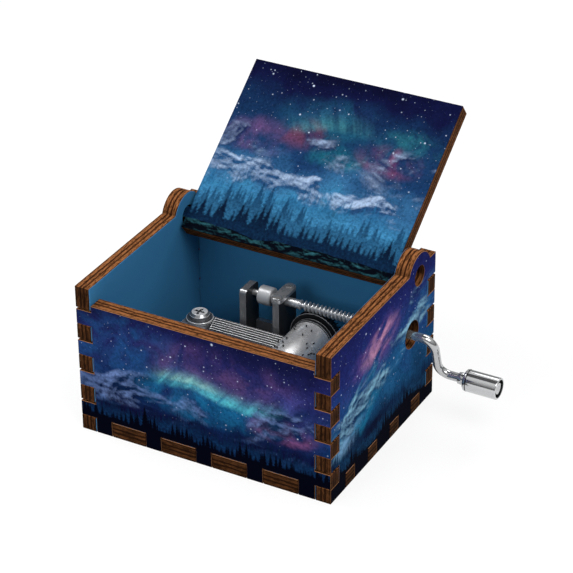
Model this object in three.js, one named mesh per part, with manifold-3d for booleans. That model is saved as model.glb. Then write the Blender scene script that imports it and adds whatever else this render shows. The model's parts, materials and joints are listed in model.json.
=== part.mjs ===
// Hand crank music box: a finger-jointed plywood case with a pivoting lid and, inside it, a
// comb-and-drum movement that a bent wire crank turns through a worm and a worm wheel.
// Millimetres. +X is the crank's side, -Y the front, +Z up. The origin is the middle of the
// case's footprint, on the surface that the case stands on.

import * as THREE from "three";
import { mergeVertices } from "three/addons/utils/BufferGeometryUtils.js";
import Module from "manifold-3d";

const wasm = await Module();
wasm.setup();

// Clearances
const SEAM = 0.12; // slack in every cut joint of the case
const SEAT_GAP = 0.05; // between faces that are screwed or pressed together
const RUNNING_GAP = 0.1; // between a turning piece and its bearing
const OVERRUN = 1; // how far a cutting tool runs past the face that it cuts

// Movement, measured from its wheel's middle: along X from the drum's axis, along Y from the
// crank shaft's axis, and up from the case's floor
const FRAME_LEFT = 31.75;
const FRAME_RIGHT = 7.35;
const FRAME_CORNER = 2.5;
const BED_THICKNESS = 2.4;
const SHAFT_RISE = 18.5;

// Case
const PLY = 3.8;
const SIDE_HEIGHT = 37.75;
const SPACE_LEFT = 4.7;
const SPACE_RIGHT = 12.6;
const SPACE_FRONT = 8.2;
const SPACE_BACK = 3.6;
const CORNER_FINGERS = 4;
const CORNER_TAB = 3.7;
const CORNER_LAND = 1.1;
const FINGER_SLACK = 0.5;
const WALL_FEET = 5;
const WALL_FOOT = 4.1;
const SIDE_KEYS = 4;
const SIDE_KEY = 4;

// Lid and its hinge
const HINGE_FROM_BACK = 8.3;
const EAR_WALL = 3.2;
const PIVOT_WIDTH = 2.8;
const PIVOT_RECESS = 1.2;
const LID_OPEN_DEGREES = 143;
const LID_SIDE_GAP = 1.1;
const LID_PLAY = 0.4; // how far the lid has slid to the left on its pivots
const LID_FRONT_INSET = 0.7;
const LID_TOP_DROP = 0.15;
const LID_REST_GAP = 0.3;
const LID_SWING_GAP = 0.12;
const LID_STOP_GAP = 0.2;

// Crank shaft with its worm
const SHAFT_RADIUS = 1.05;
const JOURNAL_RADIUS = 0.75; // the shaft's thinner end, in the left post
const SHAFT_TAIL = 19.15;
const WORM_PITCH = 1;
const WORM_TURNS = 13;
const WORM_START = 4.1;
const WORM_PITCH_RADIUS = 0.985;
const WORM_CREST_RADIUS = 1.3;
const WORM_ROOT_RADIUS = 0.62;
const WORM_CREST_WIDTH = 0.22;
const WORM_ROOT_WIDTH = 0.46;
const SHOULDER_RADIUS = 1.25; // before the worm
const SHOULDER_LENGTH = 0.3;
const SOCKET_START = 11.25;
const SOCKET_LENGTH = 6;
const SOCKET_RADIUS = 1.75;
const SOCKET_DEPTH = 5;
const COLLAR_START = 14.9;
const COLLAR_LENGTH = 3.5;
const COLLAR_RADIUS = 2.25;
const COLLAR_CHAMFER = 0.25;

// Crank handle, measured out from the case's right face
const ARM_STANDOFF = 5.8;
const CRANK_THROW = 10.3;
const CRANK_BACK_DEGREES = 16.9;
const BEND_RADIUS = 3;
const ROD_ENTRY = 3.8; // how far the rod's end goes into the shaft's socket
const HOLE_RADIUS = 3.4;
const HOLE_BACK = 0.7;
const HOLE_DROP = 0.25;
const KNOB_STANDOFF = 12.6;
const KNOB_LENGTH = 8.3;
const KNOB_RADIUS = 2.6;
const KNOB_CHAMFER = 0.35;
const KNOB_TAPER_LENGTH = 0.8;
const KNOB_RECESS_RADIUS = 2.05;
const KNOB_RECESS_DEPTH = 1.5;
const KNOB_LIP = 0.15;
const SWAGE_RADIUS = 1.45;
const SWAGE_LENGTH = 1.7;
const PEEN_RADIUS = 1.5;
const PEEN_HEIGHT = 0.6;

// Worm wheel
const WHEEL_TEETH = 37;
const WHEEL_HALF_FACE = 1.2;
const SHROUD_THICKNESS = 0.35;
const WHEEL_ADDENDUM = 0.3;
const WHEEL_ROOT_GAP = 0.15;
const WHEEL_TIP_WIDTH = 0.22;
const WHEEL_ROOT_WIDTH = 0.46;
const WHEEL_GROOVE = 0.55;
const WHEEL_GROOVE_DEPTH = 0.7;
const FLANGE_THICKNESS = 1.05;
const FLANGE_RISE = 0.22;
const SPIGOT_LENGTH = 1;
const HUB_RADIUS = 2;
const HUB_LENGTH = 1.3;
const DISH_DEPTH = 0.8;
const DISH_RIM = 1;

// Drum
const DRUM_RADIUS = 5.06;
const DRUM_WALL = 0.6;
const DRUM_LENGTH = 20.1;
const DRUM_BLANK_REAR = 1.66; // without pins, at the wheel's end
const DRUM_BLANK_FRONT = 2.33;
const DRUM_PINS_PER_TRACK = 5;
const PIN_HEIGHT = 0.5;
const PIN_WIDTH = 0.34;
const PIN_ROOT = 0.3;
const CAP_THICKNESS = 0.8;
const ARBOR_RADIUS = 0.9;
const ARBOR_END = 0.4; // how far the arbor stands out of its lugs

// Drum lugs
const LUG_THICKNESS = 1.8;
const LUG_GAP = 0.5;
const LUG_CROWN = 2.2;
const LUG_FOOT = 3.4;
const LUG_INSET = 0.2; // from the edge of the bed

// Comb
const COMB_TEETH = 18;
const TOOTH_SLOT = 0.37;
const TOOTH_THICKNESS = 0.75;
const TIP_GAP = 0.3;
const COMB_ABOVE_DRUM = 0.7;
const COMB_HEEL_THICKNESS = 2;
const COMB_HEEL_LEFT = 30.2;
const COMB_ROOT_REAR = 24.15;
const COMB_ROOT_FRONT = 20;
const WEIGHTED_TEETH = 9;
const WEIGHT_LENGTH = 3.4;
const WEIGHT_STEP = 0.25;
const WEIGHT_DEPTH = 1.1;
const WEIGHT_INSET = 0.5;
const SEAT_INSET = 0.2;

// Comb screws and their washers
const COMB_SCREW_INSET = 2.85;
const COMB_SCREW_REAR = 3.07;
const COMB_SCREW_FRONT = 3.35;
const COMB_SCREW_RADIUS = 1.25;
const COMB_SCREW_DEPTH = 4.5;
const COMB_HEAD_RADIUS = 2.4;
const COMB_HEAD_HEIGHT = 1.45;
const COMB_HEAD_RIM = 0.55;
const WASHER_RADIUS = 3.2;
const WASHER_THICKNESS = 0.8;
const CROSS_LENGTH = 2.6;
const CROSS_WIDTH = 0.6;
const CROSS_DEPTH = 0.7;

// Posts that carry the crank shaft
const LEFT_POST_X = 17.55;
const RIGHT_POST_X = 8.85;
const POST_WIDTH = 1.7;
const POST_FRONT = 3.8;
const LEFT_POST_REAR = 2.25;
const RIGHT_POST_REAR = 4.5;
const POST_HEAD = 1.2; // metal over the shaft in the left post
const POST_ROUND = 1.1;
const POST_FLARE = 0.4;
const POST_FLARE_HEIGHT = 3;
const WEB_HEIGHT = 10.5;
const WEB_THICKNESS = 1.3;
const CAP_HALF_WIDTH = 1.45;
const CAP_PLATE = 0.85;
const CAP_RISE = 0.15;
const RIVET_OFFSET = 3.05;
const RIVET_HEAD_RADIUS = 1.15;
const RIVET_HEAD_HEIGHT = 0.5;
const RIVET_SHANK_RADIUS = 0.4;
const RIVET_SHANK_LENGTH = 2.4;

// Screws that hold the movement from under the case
const MOUNT_SCREW_RADIUS = 1.3;
const MOUNT_HEAD_RADIUS = 2.5;
const MOUNT_HEAD_HEIGHT = 1.3;
const MOUNT_HEAD_SINK = 0.3;
const MOUNT_BOSS_RADIUS = 2.4;
const MOUNT_BOSS_HEIGHT = 1.4;
const MOUNT_BOSS_INSET = 2.9;
const MOUNT_RIGHT_BACK = 9.5;

// Facets of round work
const ROUND_SIDES = 32;
const DRUM_SIDES = 54;
const ROD_SIDES = 14;
const SMALL_SIDES = 16;
const BEND_STEPS = 7;
const ARC_STEPS = 8;

// Sizes worked out from the ones above
const DRUM_REAR = WHEEL_HALF_FACE + SHROUD_THICKNESS + WHEEL_GROOVE + FLANGE_THICKNESS + SEAT_GAP;
const DRUM_FRONT = DRUM_REAR + DRUM_LENGTH;
const FRONT_LUG_Y = DRUM_FRONT + CAP_THICKNESS + LUG_GAP;
const REAR_LUG_Y = WHEEL_HALF_FACE + HUB_LENGTH + LUG_GAP;
const FRAME_FRONT = FRONT_LUG_Y + LUG_THICKNESS + LUG_INSET;
const FRAME_REAR = REAR_LUG_Y + LUG_THICKNESS + LUG_INSET;
const CASE_WIDTH = FRAME_LEFT + FRAME_RIGHT + SPACE_LEFT + SPACE_RIGHT + 2 * PLY;
const CASE_DEPTH = FRAME_FRONT + FRAME_REAR + SPACE_FRONT + SPACE_BACK + 2 * PLY;
const OUTER_X = CASE_WIDTH / 2;
const OUTER_Y = CASE_DEPTH / 2;
const INNER_X = OUTER_X - PLY;
const INNER_Y = OUTER_Y - PLY;
const MOVEMENT_X = FRAME_LEFT + SPACE_LEFT - INNER_X;
const MOVEMENT_Y = INNER_Y - SPACE_BACK - FRAME_REAR;
const SHAFT_Z = PLY + SHAFT_RISE;
const HINGE_Y = OUTER_Y - HINGE_FROM_BACK;
const HINGE_Z = SIDE_HEIGHT - LID_TOP_DROP - PLY / 2;
const HINGE_HOLE_RADIUS = Math.hypot(PLY, PIVOT_WIDTH) / 2 + RUNNING_GAP;
const EAR_RADIUS = HINGE_HOLE_RADIUS + EAR_WALL;
const FRONT_HEIGHT = HINGE_Z - PLY / 2 - LID_REST_GAP;
const JOINT_PITCH = (FRONT_HEIGHT - CORNER_LAND) / CORNER_FINGERS;
const LID_OPEN = THREE.MathUtils.degToRad(LID_OPEN_DEGREES);
const LID_REACH = HINGE_Y + OUTER_Y - LID_FRONT_INSET;
const LID_TAIL = Math.sqrt((INNER_Y - HINGE_Y - LID_SWING_GAP) ** 2 - (PLY / 2) ** 2);
const WHEEL_PITCH_RADIUS = (WHEEL_TEETH * WORM_PITCH) / (2 * Math.PI);
const WHEEL_TIP_RADIUS = WHEEL_PITCH_RADIUS + WHEEL_ADDENDUM;
const DRUM_RISE = SHAFT_RISE - WORM_PITCH_RADIUS - WHEEL_PITCH_RADIUS;
const WHEEL_ROOT_RADIUS = SHAFT_RISE - WORM_CREST_RADIUS - DRUM_RISE - WHEEL_ROOT_GAP;
const COMB_RISE = DRUM_RISE + COMB_ABOVE_DRUM;
const COMB_TIP = DRUM_RADIUS + PIN_HEIGHT + TIP_GAP;
const COMB_REAR = DRUM_REAR + DRUM_BLANK_REAR;
const COMB_FRONT = DRUM_FRONT - DRUM_BLANK_FRONT;
const TOOTH_PITCH = (COMB_FRONT - COMB_REAR) / COMB_TEETH;
const TOOTH_WIDTH = TOOTH_PITCH - TOOTH_SLOT;

// How far the lid's outer face stands above the hinge where it crosses the back wall's inner face
function leanHeight() {
  const reach = (INNER_Y - HINGE_Y - (PLY / 2) * Math.sin(LID_OPEN)) / -Math.cos(LID_OPEN);
  return reach * Math.sin(LID_OPEN) + (PLY / 2) * Math.cos(LID_OPEN);
}
const BACK_HEIGHT = HINGE_Z + leanHeight() - LID_STOP_GAP;

const FINISHES = {
  plywood: { color: 0x9a6a42, roughness: 0.75, metalness: 0 },
  castFrame: { color: 0x55565a, roughness: 0.45, metalness: 0.85 },
  steel: { color: 0xb9bcc0, roughness: 0.3, metalness: 0.95 },
  nickel: { color: 0xd0d2d4, roughness: 0.25, metalness: 1 },
  chrome: { color: 0xe2e4e6, roughness: 0.08, metalness: 1 },
  blackNylon: { color: 0x17181a, roughness: 0.45, metalness: 0 },
};

// A closed geometry as a solid for cuts and joins, with its faces turned outwards
function solid(geometry) {
  const bare = geometry.clone();
  for (const name of ["normal", "uv"]) bare.deleteAttribute(name);
  const merged = mergeVertices(bare);
  const corners = merged.index.array;
  const kept = [];
  for (let i = 0; i < corners.length; i += 3) {
    const [a, b, c] = corners.slice(i, i + 3);
    if (a !== b && b !== c && c !== a) kept.push(a, b, c);
  }
  const vertProperties = new Float32Array(merged.attributes.position.array);
  const make = (triVerts) => new wasm.Manifold(new wasm.Mesh({ numProp: 3, vertProperties, triVerts }));
  const body = make(new Uint32Array(kept));
  return body.volume() > 0 ? body : make(new Uint32Array(kept).reverse());
}

function join(first, ...others) {
  return others.reduce((whole, other) => whole.add(other), first);
}

function cut(first, ...tools) {
  return tools.reduce((whole, tool) => whole.subtract(tool), first);
}

// A solid back as a geometry with flat faces
function geometryOf(body) {
  const mesh = body.getMesh();
  const geometry = new THREE.BufferGeometry();
  geometry.setAttribute("position", new THREE.BufferAttribute(mesh.vertProperties, 3));
  geometry.setIndex(new THREE.BufferAttribute(mesh.triVerts, 1));
  const faceted = geometry.toNonIndexed();
  faceted.computeVertexNormals();
  return faceted;
}

function addPart(parent, name, body, finish) {
  const mesh = new THREE.Mesh(geometryOf(body), new THREE.MeshStandardMaterial(FINISHES[finish]));
  mesh.name = name;
  parent.add(mesh);
  return mesh;
}

// Axes for outlines: where an outline's first and second directions and its thickness point
const ALONG_X = new THREE.Matrix4().makeBasis(
  new THREE.Vector3(0, 1, 0),
  new THREE.Vector3(0, 0, 1),
  new THREE.Vector3(1, 0, 0),
);
const ALONG_Y = new THREE.Matrix4().makeBasis(
  new THREE.Vector3(-1, 0, 0),
  new THREE.Vector3(0, 0, 1),
  new THREE.Vector3(0, 1, 0),
);
const ALONG_Z = new THREE.Matrix4();

// An outline pulled from one height to another along an axis. Along Y, its first direction is -X.
function extrude(outline, from, to, axis = ALONG_Z, steps = 1) {
  const settings = { depth: to - from, bevelEnabled: false, curveSegments: ARC_STEPS, steps };
  return solid(new THREE.ExtrudeGeometry(outline, settings).translate(0, 0, from).applyMatrix4(axis));
}

// A profile of [radius, height] pairs turned round an axis
function turned(profile, axis = ALONG_Z, sides = ROUND_SIDES) {
  const points = profile.map(([radius, height]) => new THREE.Vector2(radius, height));
  points.push(points[0].clone());
  return solid(new THREE.LatheGeometry(points, sides).rotateX(Math.PI / 2).applyMatrix4(axis));
}

function rod(radius, from, to, axis = ALONG_Z, sides = ROUND_SIDES) {
  return turned([[0, from], [radius, from], [radius, to], [0, to]], axis, sides);
}

function polygon(points) {
  return new THREE.Shape(points.map(([u, v]) => new THREE.Vector2(u, v)));
}

function rectangle(left, right, low, high) {
  return polygon([[left, low], [right, low], [right, high], [left, high]]);
}

function roundedRectangle(left, right, low, high, radius) {
  const shape = new THREE.Shape();
  shape.absarc(right - radius, low + radius, radius, -Math.PI / 2, 0);
  shape.absarc(right - radius, high - radius, radius, 0, Math.PI / 2);
  shape.absarc(left + radius, high - radius, radius, Math.PI / 2, Math.PI);
  shape.absarc(left + radius, low + radius, radius, Math.PI, 1.5 * Math.PI);
  return shape;
}

function circle(u, v, radius) {
  return new THREE.Path().absarc(u, v, radius, 0, 2 * Math.PI);
}

// Walks one straight edge of an outline and steps sideways over each span along it: outwards for
// a positive depth on an outline that runs anticlockwise
function stepEdge(points, [u0, v0], [u1, v1], spans, depth) {
  const length = Math.hypot(u1 - u0, v1 - v0);
  const [alongU, alongV] = [(u1 - u0) / length, (v1 - v0) / length];
  const at = (along, out) => [u0 + alongU * along + alongV * out, v0 + alongV * along - alongU * out];
  points.push([u0, v0]);
  for (const [start, end] of spans) points.push(at(start, 0), at(start, depth), at(end, depth), at(end, 0));
}

function spansDown(spans, length) {
  return spans.map(([start, end]) => [length - end, length - start]).reverse();
}

// Where the side walls are notched at a corner, and where the front and back walls' fingers lie
// in those notches, as heights
function cornerNotches() {
  const bays = Array.from({ length: CORNER_FINGERS }, (_, i) => i * JOINT_PITCH);
  return bays.map((low) => [low + CORNER_TAB, low + JOINT_PITCH]);
}

function cornerFingers() {
  return cornerNotches().map(([low, high]) => [low + SEAM, high - FINGER_SLACK]);
}

// Spans along the front and back walls' bottom edge, from the inner left corner: the feet of the
// wall, and the base's fingers between them
function wallFeet() {
  const pitch = (2 * INNER_X - WALL_FOOT - 2 * SEAM) / (WALL_FEET - 1);
  return Array.from({ length: WALL_FEET }, (_, i) => [SEAM + i * pitch, SEAM + i * pitch + WALL_FOOT]);
}

function baseFingers(slack) {
  const feet = wallFeet();
  return feet.slice(1).map(([start], i) => [feet[i][1] + slack, start - slack]);
}

// Spans of the base's keys through the side walls, from the inner front corner
function sideKeys(slack) {
  const bay = (2 * INNER_Y) / SIDE_KEYS;
  return Array.from({ length: SIDE_KEYS }, (_, i) => {
    const middle = (i + 0.5) * bay;
    return [middle - SIDE_KEY / 2 - slack, middle + SIDE_KEY / 2 + slack];
  });
}

// Front or back wall, as an outline in X and Z: fingers at both ends, feet along the bottom
function endWall(height) {
  const half = INNER_X - SEAM;
  const reach = PLY + SEAM;
  const points = [];
  const notches = baseFingers(0).map(([start, end]) => [start - SEAM, end - SEAM]);
  stepEdge(points, [-half, 0], [half, 0], notches, -(PLY + SEAM));
  stepEdge(points, [half, 0], [half, height], cornerFingers(), reach);
  points.push([half, height]);
  stepEdge(points, [-half, height], [-half, 0], spansDown(cornerFingers(), height), reach);
  return polygon(points);
}

// Side wall, as an outline in Y and Z: notches down both upright edges and along the bottom, and
// the round ear that the lid's pivot sits in
function sideWall() {
  const notchDepth = -(PLY + SEAM);
  const keySpans = sideKeys(SEAM).map(([start, end]) => [start + PLY, end + PLY]);
  const points = [];
  stepEdge(points, [-OUTER_Y, 0], [OUTER_Y, 0], keySpans, notchDepth);
  stepEdge(points, [OUTER_Y, 0], [OUTER_Y, SIDE_HEIGHT], cornerNotches(), notchDepth);
  points.push([OUTER_Y, SIDE_HEIGHT]);
  const shoulder = Math.asin((SIDE_HEIGHT - HINGE_Z) / EAR_RADIUS);
  const sweep = Math.PI - 2 * shoulder;
  for (let i = 0; i <= 2 * ARC_STEPS; i += 1) {
    const angle = shoulder + (sweep * i) / (2 * ARC_STEPS);
    points.push([HINGE_Y + EAR_RADIUS * Math.cos(angle), HINGE_Z + EAR_RADIUS * Math.sin(angle)]);
  }
  const frontSpans = spansDown(cornerNotches(), SIDE_HEIGHT);
  stepEdge(points, [-OUTER_Y, SIDE_HEIGHT], [-OUTER_Y, 0], frontSpans, notchDepth);
  const shape = polygon(points);
  shape.holes.push(circle(HINGE_Y, HINGE_Z, HINGE_HOLE_RADIUS));
  return shape;
}

function rightWall() {
  const shape = sideWall();
  shape.holes.push(circle(MOVEMENT_Y + HOLE_BACK, SHAFT_Z - HOLE_DROP, HOLE_RADIUS));
  return shape;
}

// Screws under the movement, in the movement's own X and Y
function mountScrewPlaces() {
  const left = MOUNT_BOSS_INSET - FRAME_LEFT;
  return [
    [left, FRAME_REAR - MOUNT_BOSS_INSET],
    [left, MOUNT_BOSS_INSET - FRAME_FRONT],
    [FRAME_RIGHT - MOUNT_BOSS_INSET, -MOUNT_RIGHT_BACK],
  ];
}

function basePanel() {
  const x = INNER_X - SEAM;
  const y = INNER_Y - SEAM;
  const reach = PLY + SEAM;
  const points = [];
  const acrossSpans = baseFingers(SEAM).map(([start, end]) => [start - SEAM, end - SEAM]);
  const sideSpans = sideKeys(0).map(([start, end]) => [start - SEAM, end - SEAM]);
  stepEdge(points, [-x, -y], [x, -y], acrossSpans, reach);
  stepEdge(points, [x, -y], [x, y], sideSpans, reach);
  stepEdge(points, [x, y], [-x, y], spansDown(acrossSpans, 2 * x), reach);
  stepEdge(points, [-x, y], [-x, -y], spansDown(sideSpans, 2 * y), reach);
  const holes = mountScrewPlaces().map(([holeX, holeY]) =>
    countersink().translate([MOVEMENT_X + holeX, MOVEMENT_Y + holeY, 0]),
  );
  return cut(extrude(polygon(points), 0, PLY), ...holes);
}

// The hole for a countersunk screw, with its mouth at the underside
function countersink() {
  const mouth = MOUNT_HEAD_RADIUS + RUNNING_GAP;
  const bore = MOUNT_SCREW_RADIUS + RUNNING_GAP;
  return turned([
    [0, -OVERRUN],
    [mouth, -OVERRUN],
    [mouth, MOUNT_HEAD_SINK],
    [bore, MOUNT_HEAD_SINK + MOUNT_HEAD_HEIGHT],
    [bore, PLY + OVERRUN],
    [0, PLY + OVERRUN],
  ], ALONG_Z, SMALL_SIDES);
}

function mountScrew() {
  const top = PLY + BED_THICKNESS + MOUNT_BOSS_HEIGHT - RUNNING_GAP;
  const head = turned([
    [0, MOUNT_HEAD_SINK],
    [MOUNT_HEAD_RADIUS, MOUNT_HEAD_SINK],
    [MOUNT_SCREW_RADIUS, MOUNT_HEAD_SINK + MOUNT_HEAD_HEIGHT],
    [MOUNT_SCREW_RADIUS, top],
    [0, top],
  ], ALONG_Z, SMALL_SIDES);
  return cut(head, ...crossRecess(MOUNT_HEAD_SINK, -1));
}

// A cross-shaped driver recess, cut from a head's face into the head
function crossRecess(face, into) {
  const bottom = face + into * CROSS_DEPTH;
  const [low, high] = [Math.min(face - into * OVERRUN, bottom), Math.max(face - into * OVERRUN, bottom)];
  const [long, short] = [CROSS_LENGTH / 2, CROSS_WIDTH / 2];
  return [
    extrude(rectangle(-long, long, -short, short), low, high),
    extrude(rectangle(-short, short, -long, long), low, high),
  ];
}

// Lid in its own frame: X along the hinge, Y from the pivots to the front edge, Z out of the
// underside, with the pivots' middle at the origin
function lidPanel() {
  const half = INNER_X - LID_SIDE_GAP;
  const pivotReach = PLY + LID_SIDE_GAP - PIVOT_RECESS;
  const pivot = [[LID_TAIL - PIVOT_WIDTH / 2, LID_TAIL + PIVOT_WIDTH / 2]];
  const points = [[-half, -LID_TAIL]];
  stepEdge(points, [half, -LID_TAIL], [half, LID_REACH], pivot, pivotReach);
  points.push([half, LID_REACH]);
  const leftPivot = spansDown(pivot, LID_TAIL + LID_REACH);
  stepEdge(points, [-half, LID_REACH], [-half, -LID_TAIL], leftPivot, pivotReach);
  return extrude(polygon(points), -PLY / 2, PLY / 2);
}

// Outline of the comb's heel, drawn in by a margin: its right edge slants, so that the rear teeth
// are the long ones
function heelOutline(margin) {
  const slope = (COMB_ROOT_REAR - COMB_ROOT_FRONT) / (COMB_FRONT - COMB_REAR);
  const inset = TOOTH_SLOT / 2 + margin;
  const [rear, front] = [COMB_REAR + inset, COMB_FRONT - inset];
  const rootAt = (y) => COMB_ROOT_REAR - slope * (y - COMB_REAR) + margin;
  return polygon([
    [margin - COMB_HEEL_LEFT, -front],
    [-rootAt(front), -front],
    [-rootAt(rear), -rear],
    [margin - COMB_HEEL_LEFT, -rear],
  ]);
}

function combScrewPlaces() {
  const x = COMB_SCREW_INSET - COMB_HEEL_LEFT + COMB_SCREW_RADIUS / 2;
  return [[x, -(COMB_REAR + COMB_SCREW_REAR)], [x, -(COMB_FRONT - COMB_SCREW_FRONT)]];
}

// The comb: a thick heel, and thin teeth that grow longer from the front to the rear, the longest
// of them with tuning weights under their tips
function comb() {
  const toothLow = COMB_RISE - TOOTH_THICKNESS;
  const pieces = [extrude(heelOutline(0), COMB_RISE - COMB_HEEL_THICKNESS, COMB_RISE)];
  for (let i = 0; i < COMB_TEETH; i += 1) {
    const low = TOOTH_SLOT / 2 - (COMB_REAR + (i + 1) * TOOTH_PITCH);
    pieces.push(extrude(rectangle(-COMB_ROOT_REAR, -COMB_TIP, low, low + TOOTH_WIDTH), toothLow, COMB_RISE));
    if (i < WEIGHTED_TEETH) {
      const right = -(COMB_TIP + WEIGHT_INSET);
      const length = WEIGHT_LENGTH - i * WEIGHT_STEP;
      const weight = rectangle(right - length, right, low, low + TOOTH_WIDTH);
      pieces.push(extrude(weight, toothLow - WEIGHT_DEPTH, toothLow));
    }
  }
  const under = COMB_RISE - COMB_HEEL_THICKNESS - OVERRUN;
  return cut(join(...pieces), ...combScrewHoles(COMB_RISE + OVERRUN, under));
}

function combScrewHoles(top, bottom) {
  return combScrewPlaces().map(([x, y]) =>
    rod(COMB_SCREW_RADIUS + RUNNING_GAP, bottom, top, ALONG_Z, SMALL_SIDES).translate([x, y, 0]),
  );
}

function combWasher() {
  const bore = COMB_SCREW_RADIUS + RUNNING_GAP;
  const low = COMB_RISE + SEAT_GAP;
  const high = low + WASHER_THICKNESS;
  return turned([[bore, low], [WASHER_RADIUS, low], [WASHER_RADIUS, high], [bore, high]]);
}

function combScrew() {
  const seat = COMB_RISE + 2 * SEAT_GAP + WASHER_THICKNESS;
  const top = seat + COMB_HEAD_HEIGHT;
  const crown = COMB_HEAD_RADIUS - COMB_HEAD_RIM;
  const body = turned([
    [0, seat - COMB_SCREW_DEPTH],
    [COMB_SCREW_RADIUS, seat - COMB_SCREW_DEPTH],
    [COMB_SCREW_RADIUS, seat],
    [COMB_HEAD_RADIUS, seat],
    [COMB_HEAD_RADIUS, top - COMB_HEAD_RIM],
    [crown, top],
    [0, top],
  ], ALONG_Z, ROUND_SIDES);
  return cut(body, ...crossRecess(top, -1));
}

// Side view of a post that carries the shaft, as an outline in Y and Z
function postOutline(rear, top, round) {
  const shape = new THREE.Shape();
  shape.moveTo(-POST_FRONT, 0);
  shape.lineTo(rear + POST_FLARE, 0);
  shape.lineTo(rear + POST_FLARE, BED_THICKNESS);
  shape.lineTo(rear, BED_THICKNESS + POST_FLARE_HEIGHT);
  shape.lineTo(rear, top - round);
  shape.absarc(rear - round, top - round, round, 0, Math.PI / 2);
  shape.absarc(round - POST_FRONT, top - round, round, Math.PI / 2, Math.PI);
  return shape;
}

// A lug that carries one end of the drum's arbor, as an outline in -X and Z
function lugOutline() {
  const shape = new THREE.Shape();
  shape.moveTo(LUG_FOOT, 0);
  shape.absarc(0, DRUM_RISE, LUG_CROWN, 0, Math.PI);
  shape.lineTo(-LUG_FOOT, 0);
  return shape;
}

// The bed under the movement, open below the drum and between the comb and the drum
function bedPlate() {
  const outline = roundedRectangle(-FRAME_LEFT, FRAME_RIGHT, -FRAME_FRONT, FRAME_REAR, FRAME_CORNER);
  const rail = 2 * MOUNT_BOSS_RADIUS;
  const windowLeft = RIGHT_POST_X - POST_WIDTH / 2 - POST_FLARE;
  const lugRoom = LUG_THICKNESS + FRAME_CORNER;
  const drumWindow = roundedRectangle(
    -windowLeft,
    FRAME_RIGHT - rail,
    lugRoom - FRAME_FRONT,
    REAR_LUG_Y - FRAME_CORNER,
    FRAME_CORNER / 2,
  );
  const combWindow = roundedRectangle(
    -(LEFT_POST_X - POST_WIDTH / 2),
    -(windowLeft + FRAME_CORNER),
    lugRoom - FRAME_FRONT,
    -(POST_FRONT + FRAME_CORNER),
    FRAME_CORNER / 2,
  );
  outline.holes.push(drumWindow, combWindow);
  return extrude(outline, 0, BED_THICKNESS);
}

// The die-cast frame: bed, comb seat, the two shaft posts with the web between them, the drum's
// lugs and the bosses that the mounting screws bite into
function movementFrame() {
  const seatTop = COMB_RISE - COMB_HEEL_THICKNESS - SEAT_GAP;
  const leftTop = SHAFT_RISE + JOURNAL_RADIUS + RUNNING_GAP + POST_HEAD;
  const rightTop = SHAFT_RISE + SHAFT_RADIUS + CAP_RISE;
  const post = (x, rear, top, round) =>
    extrude(postOutline(rear, top, round), x - POST_WIDTH / 2, x + POST_WIDTH / 2, ALONG_X);
  const web = extrude(
    rectangle(-LEFT_POST_X, -RIGHT_POST_X, LEFT_POST_REAR - WEB_THICKNESS, LEFT_POST_REAR),
    0,
    WEB_HEIGHT,
  );
  const bosses = mountScrewPlaces().map(([x, y]) =>
    rod(MOUNT_BOSS_RADIUS, 0, BED_THICKNESS + MOUNT_BOSS_HEIGHT).translate([x, y, 0]),
  );
  const whole = join(
    bedPlate(),
    extrude(heelOutline(SEAT_INSET), 0, seatTop),
    post(-LEFT_POST_X, LEFT_POST_REAR, leftTop, POST_ROUND),
    post(-RIGHT_POST_X, RIGHT_POST_REAR, rightTop, SEAM),
    web,
    extrude(lugOutline(), -FRONT_LUG_Y - LUG_THICKNESS, -FRONT_LUG_Y, ALONG_Y),
    extrude(lugOutline(), REAR_LUG_Y, REAR_LUG_Y + LUG_THICKNESS, ALONG_Y),
    ...bosses,
  );
  return cut(whole, ...frameHoles(seatTop, rightTop));
}

function frameHoles(seatTop, rightTop) {
  const shaftBore = SHAFT_RADIUS + RUNNING_GAP;
  const journalBore = JOURNAL_RADIUS + RUNNING_GAP;
  const between = POST_WIDTH - LEFT_POST_X;
  const bearings = join(
    rod(journalBore, -FRAME_LEFT, between, ALONG_X, SMALL_SIDES),
    rod(shaftBore, between, 0, ALONG_X, SMALL_SIDES),
  ).translate([0, 0, SHAFT_RISE]);
  const slotX = -RIGHT_POST_X - POST_WIDTH;
  const slot = extrude(
    rectangle(-shaftBore, shaftBore, SHAFT_RISE, rightTop + OVERRUN),
    slotX,
    slotX + 2 * POST_WIDTH,
    ALONG_X,
  );
  const arborBore = rod(ARBOR_RADIUS + RUNNING_GAP, -FRAME_FRONT, FRAME_REAR, ALONG_Y, SMALL_SIDES);
  const uprightHole = (radius, low, high) =>
    rod(radius, low - OVERRUN, high + OVERRUN, ALONG_Z, SMALL_SIDES);
  const rivetFoot = rightTop - RIVET_SHANK_LENGTH + OVERRUN;
  const rivetHoles = rivetPlaces().map(([x, y]) =>
    uprightHole(RIVET_SHANK_RADIUS + SEAT_GAP, rivetFoot, rightTop).translate([x, y, 0]),
  );
  const bossTop = BED_THICKNESS + MOUNT_BOSS_HEIGHT;
  const mountHoles = mountScrewPlaces().map(([x, y]) =>
    uprightHole(MOUNT_SCREW_RADIUS + RUNNING_GAP, 0, bossTop).translate([x, y, 0]),
  );
  return [
    bearings,
    slot,
    arborBore.translate([0, 0, DRUM_RISE]),
    ...combScrewHoles(seatTop + OVERRUN, seatTop - COMB_SCREW_DEPTH),
    ...rivetHoles,
    ...mountHoles,
  ];
}

function rivetPlaces() {
  return [[-RIGHT_POST_X, -RIVET_OFFSET], [-RIGHT_POST_X, RIVET_OFFSET]];
}

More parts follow.
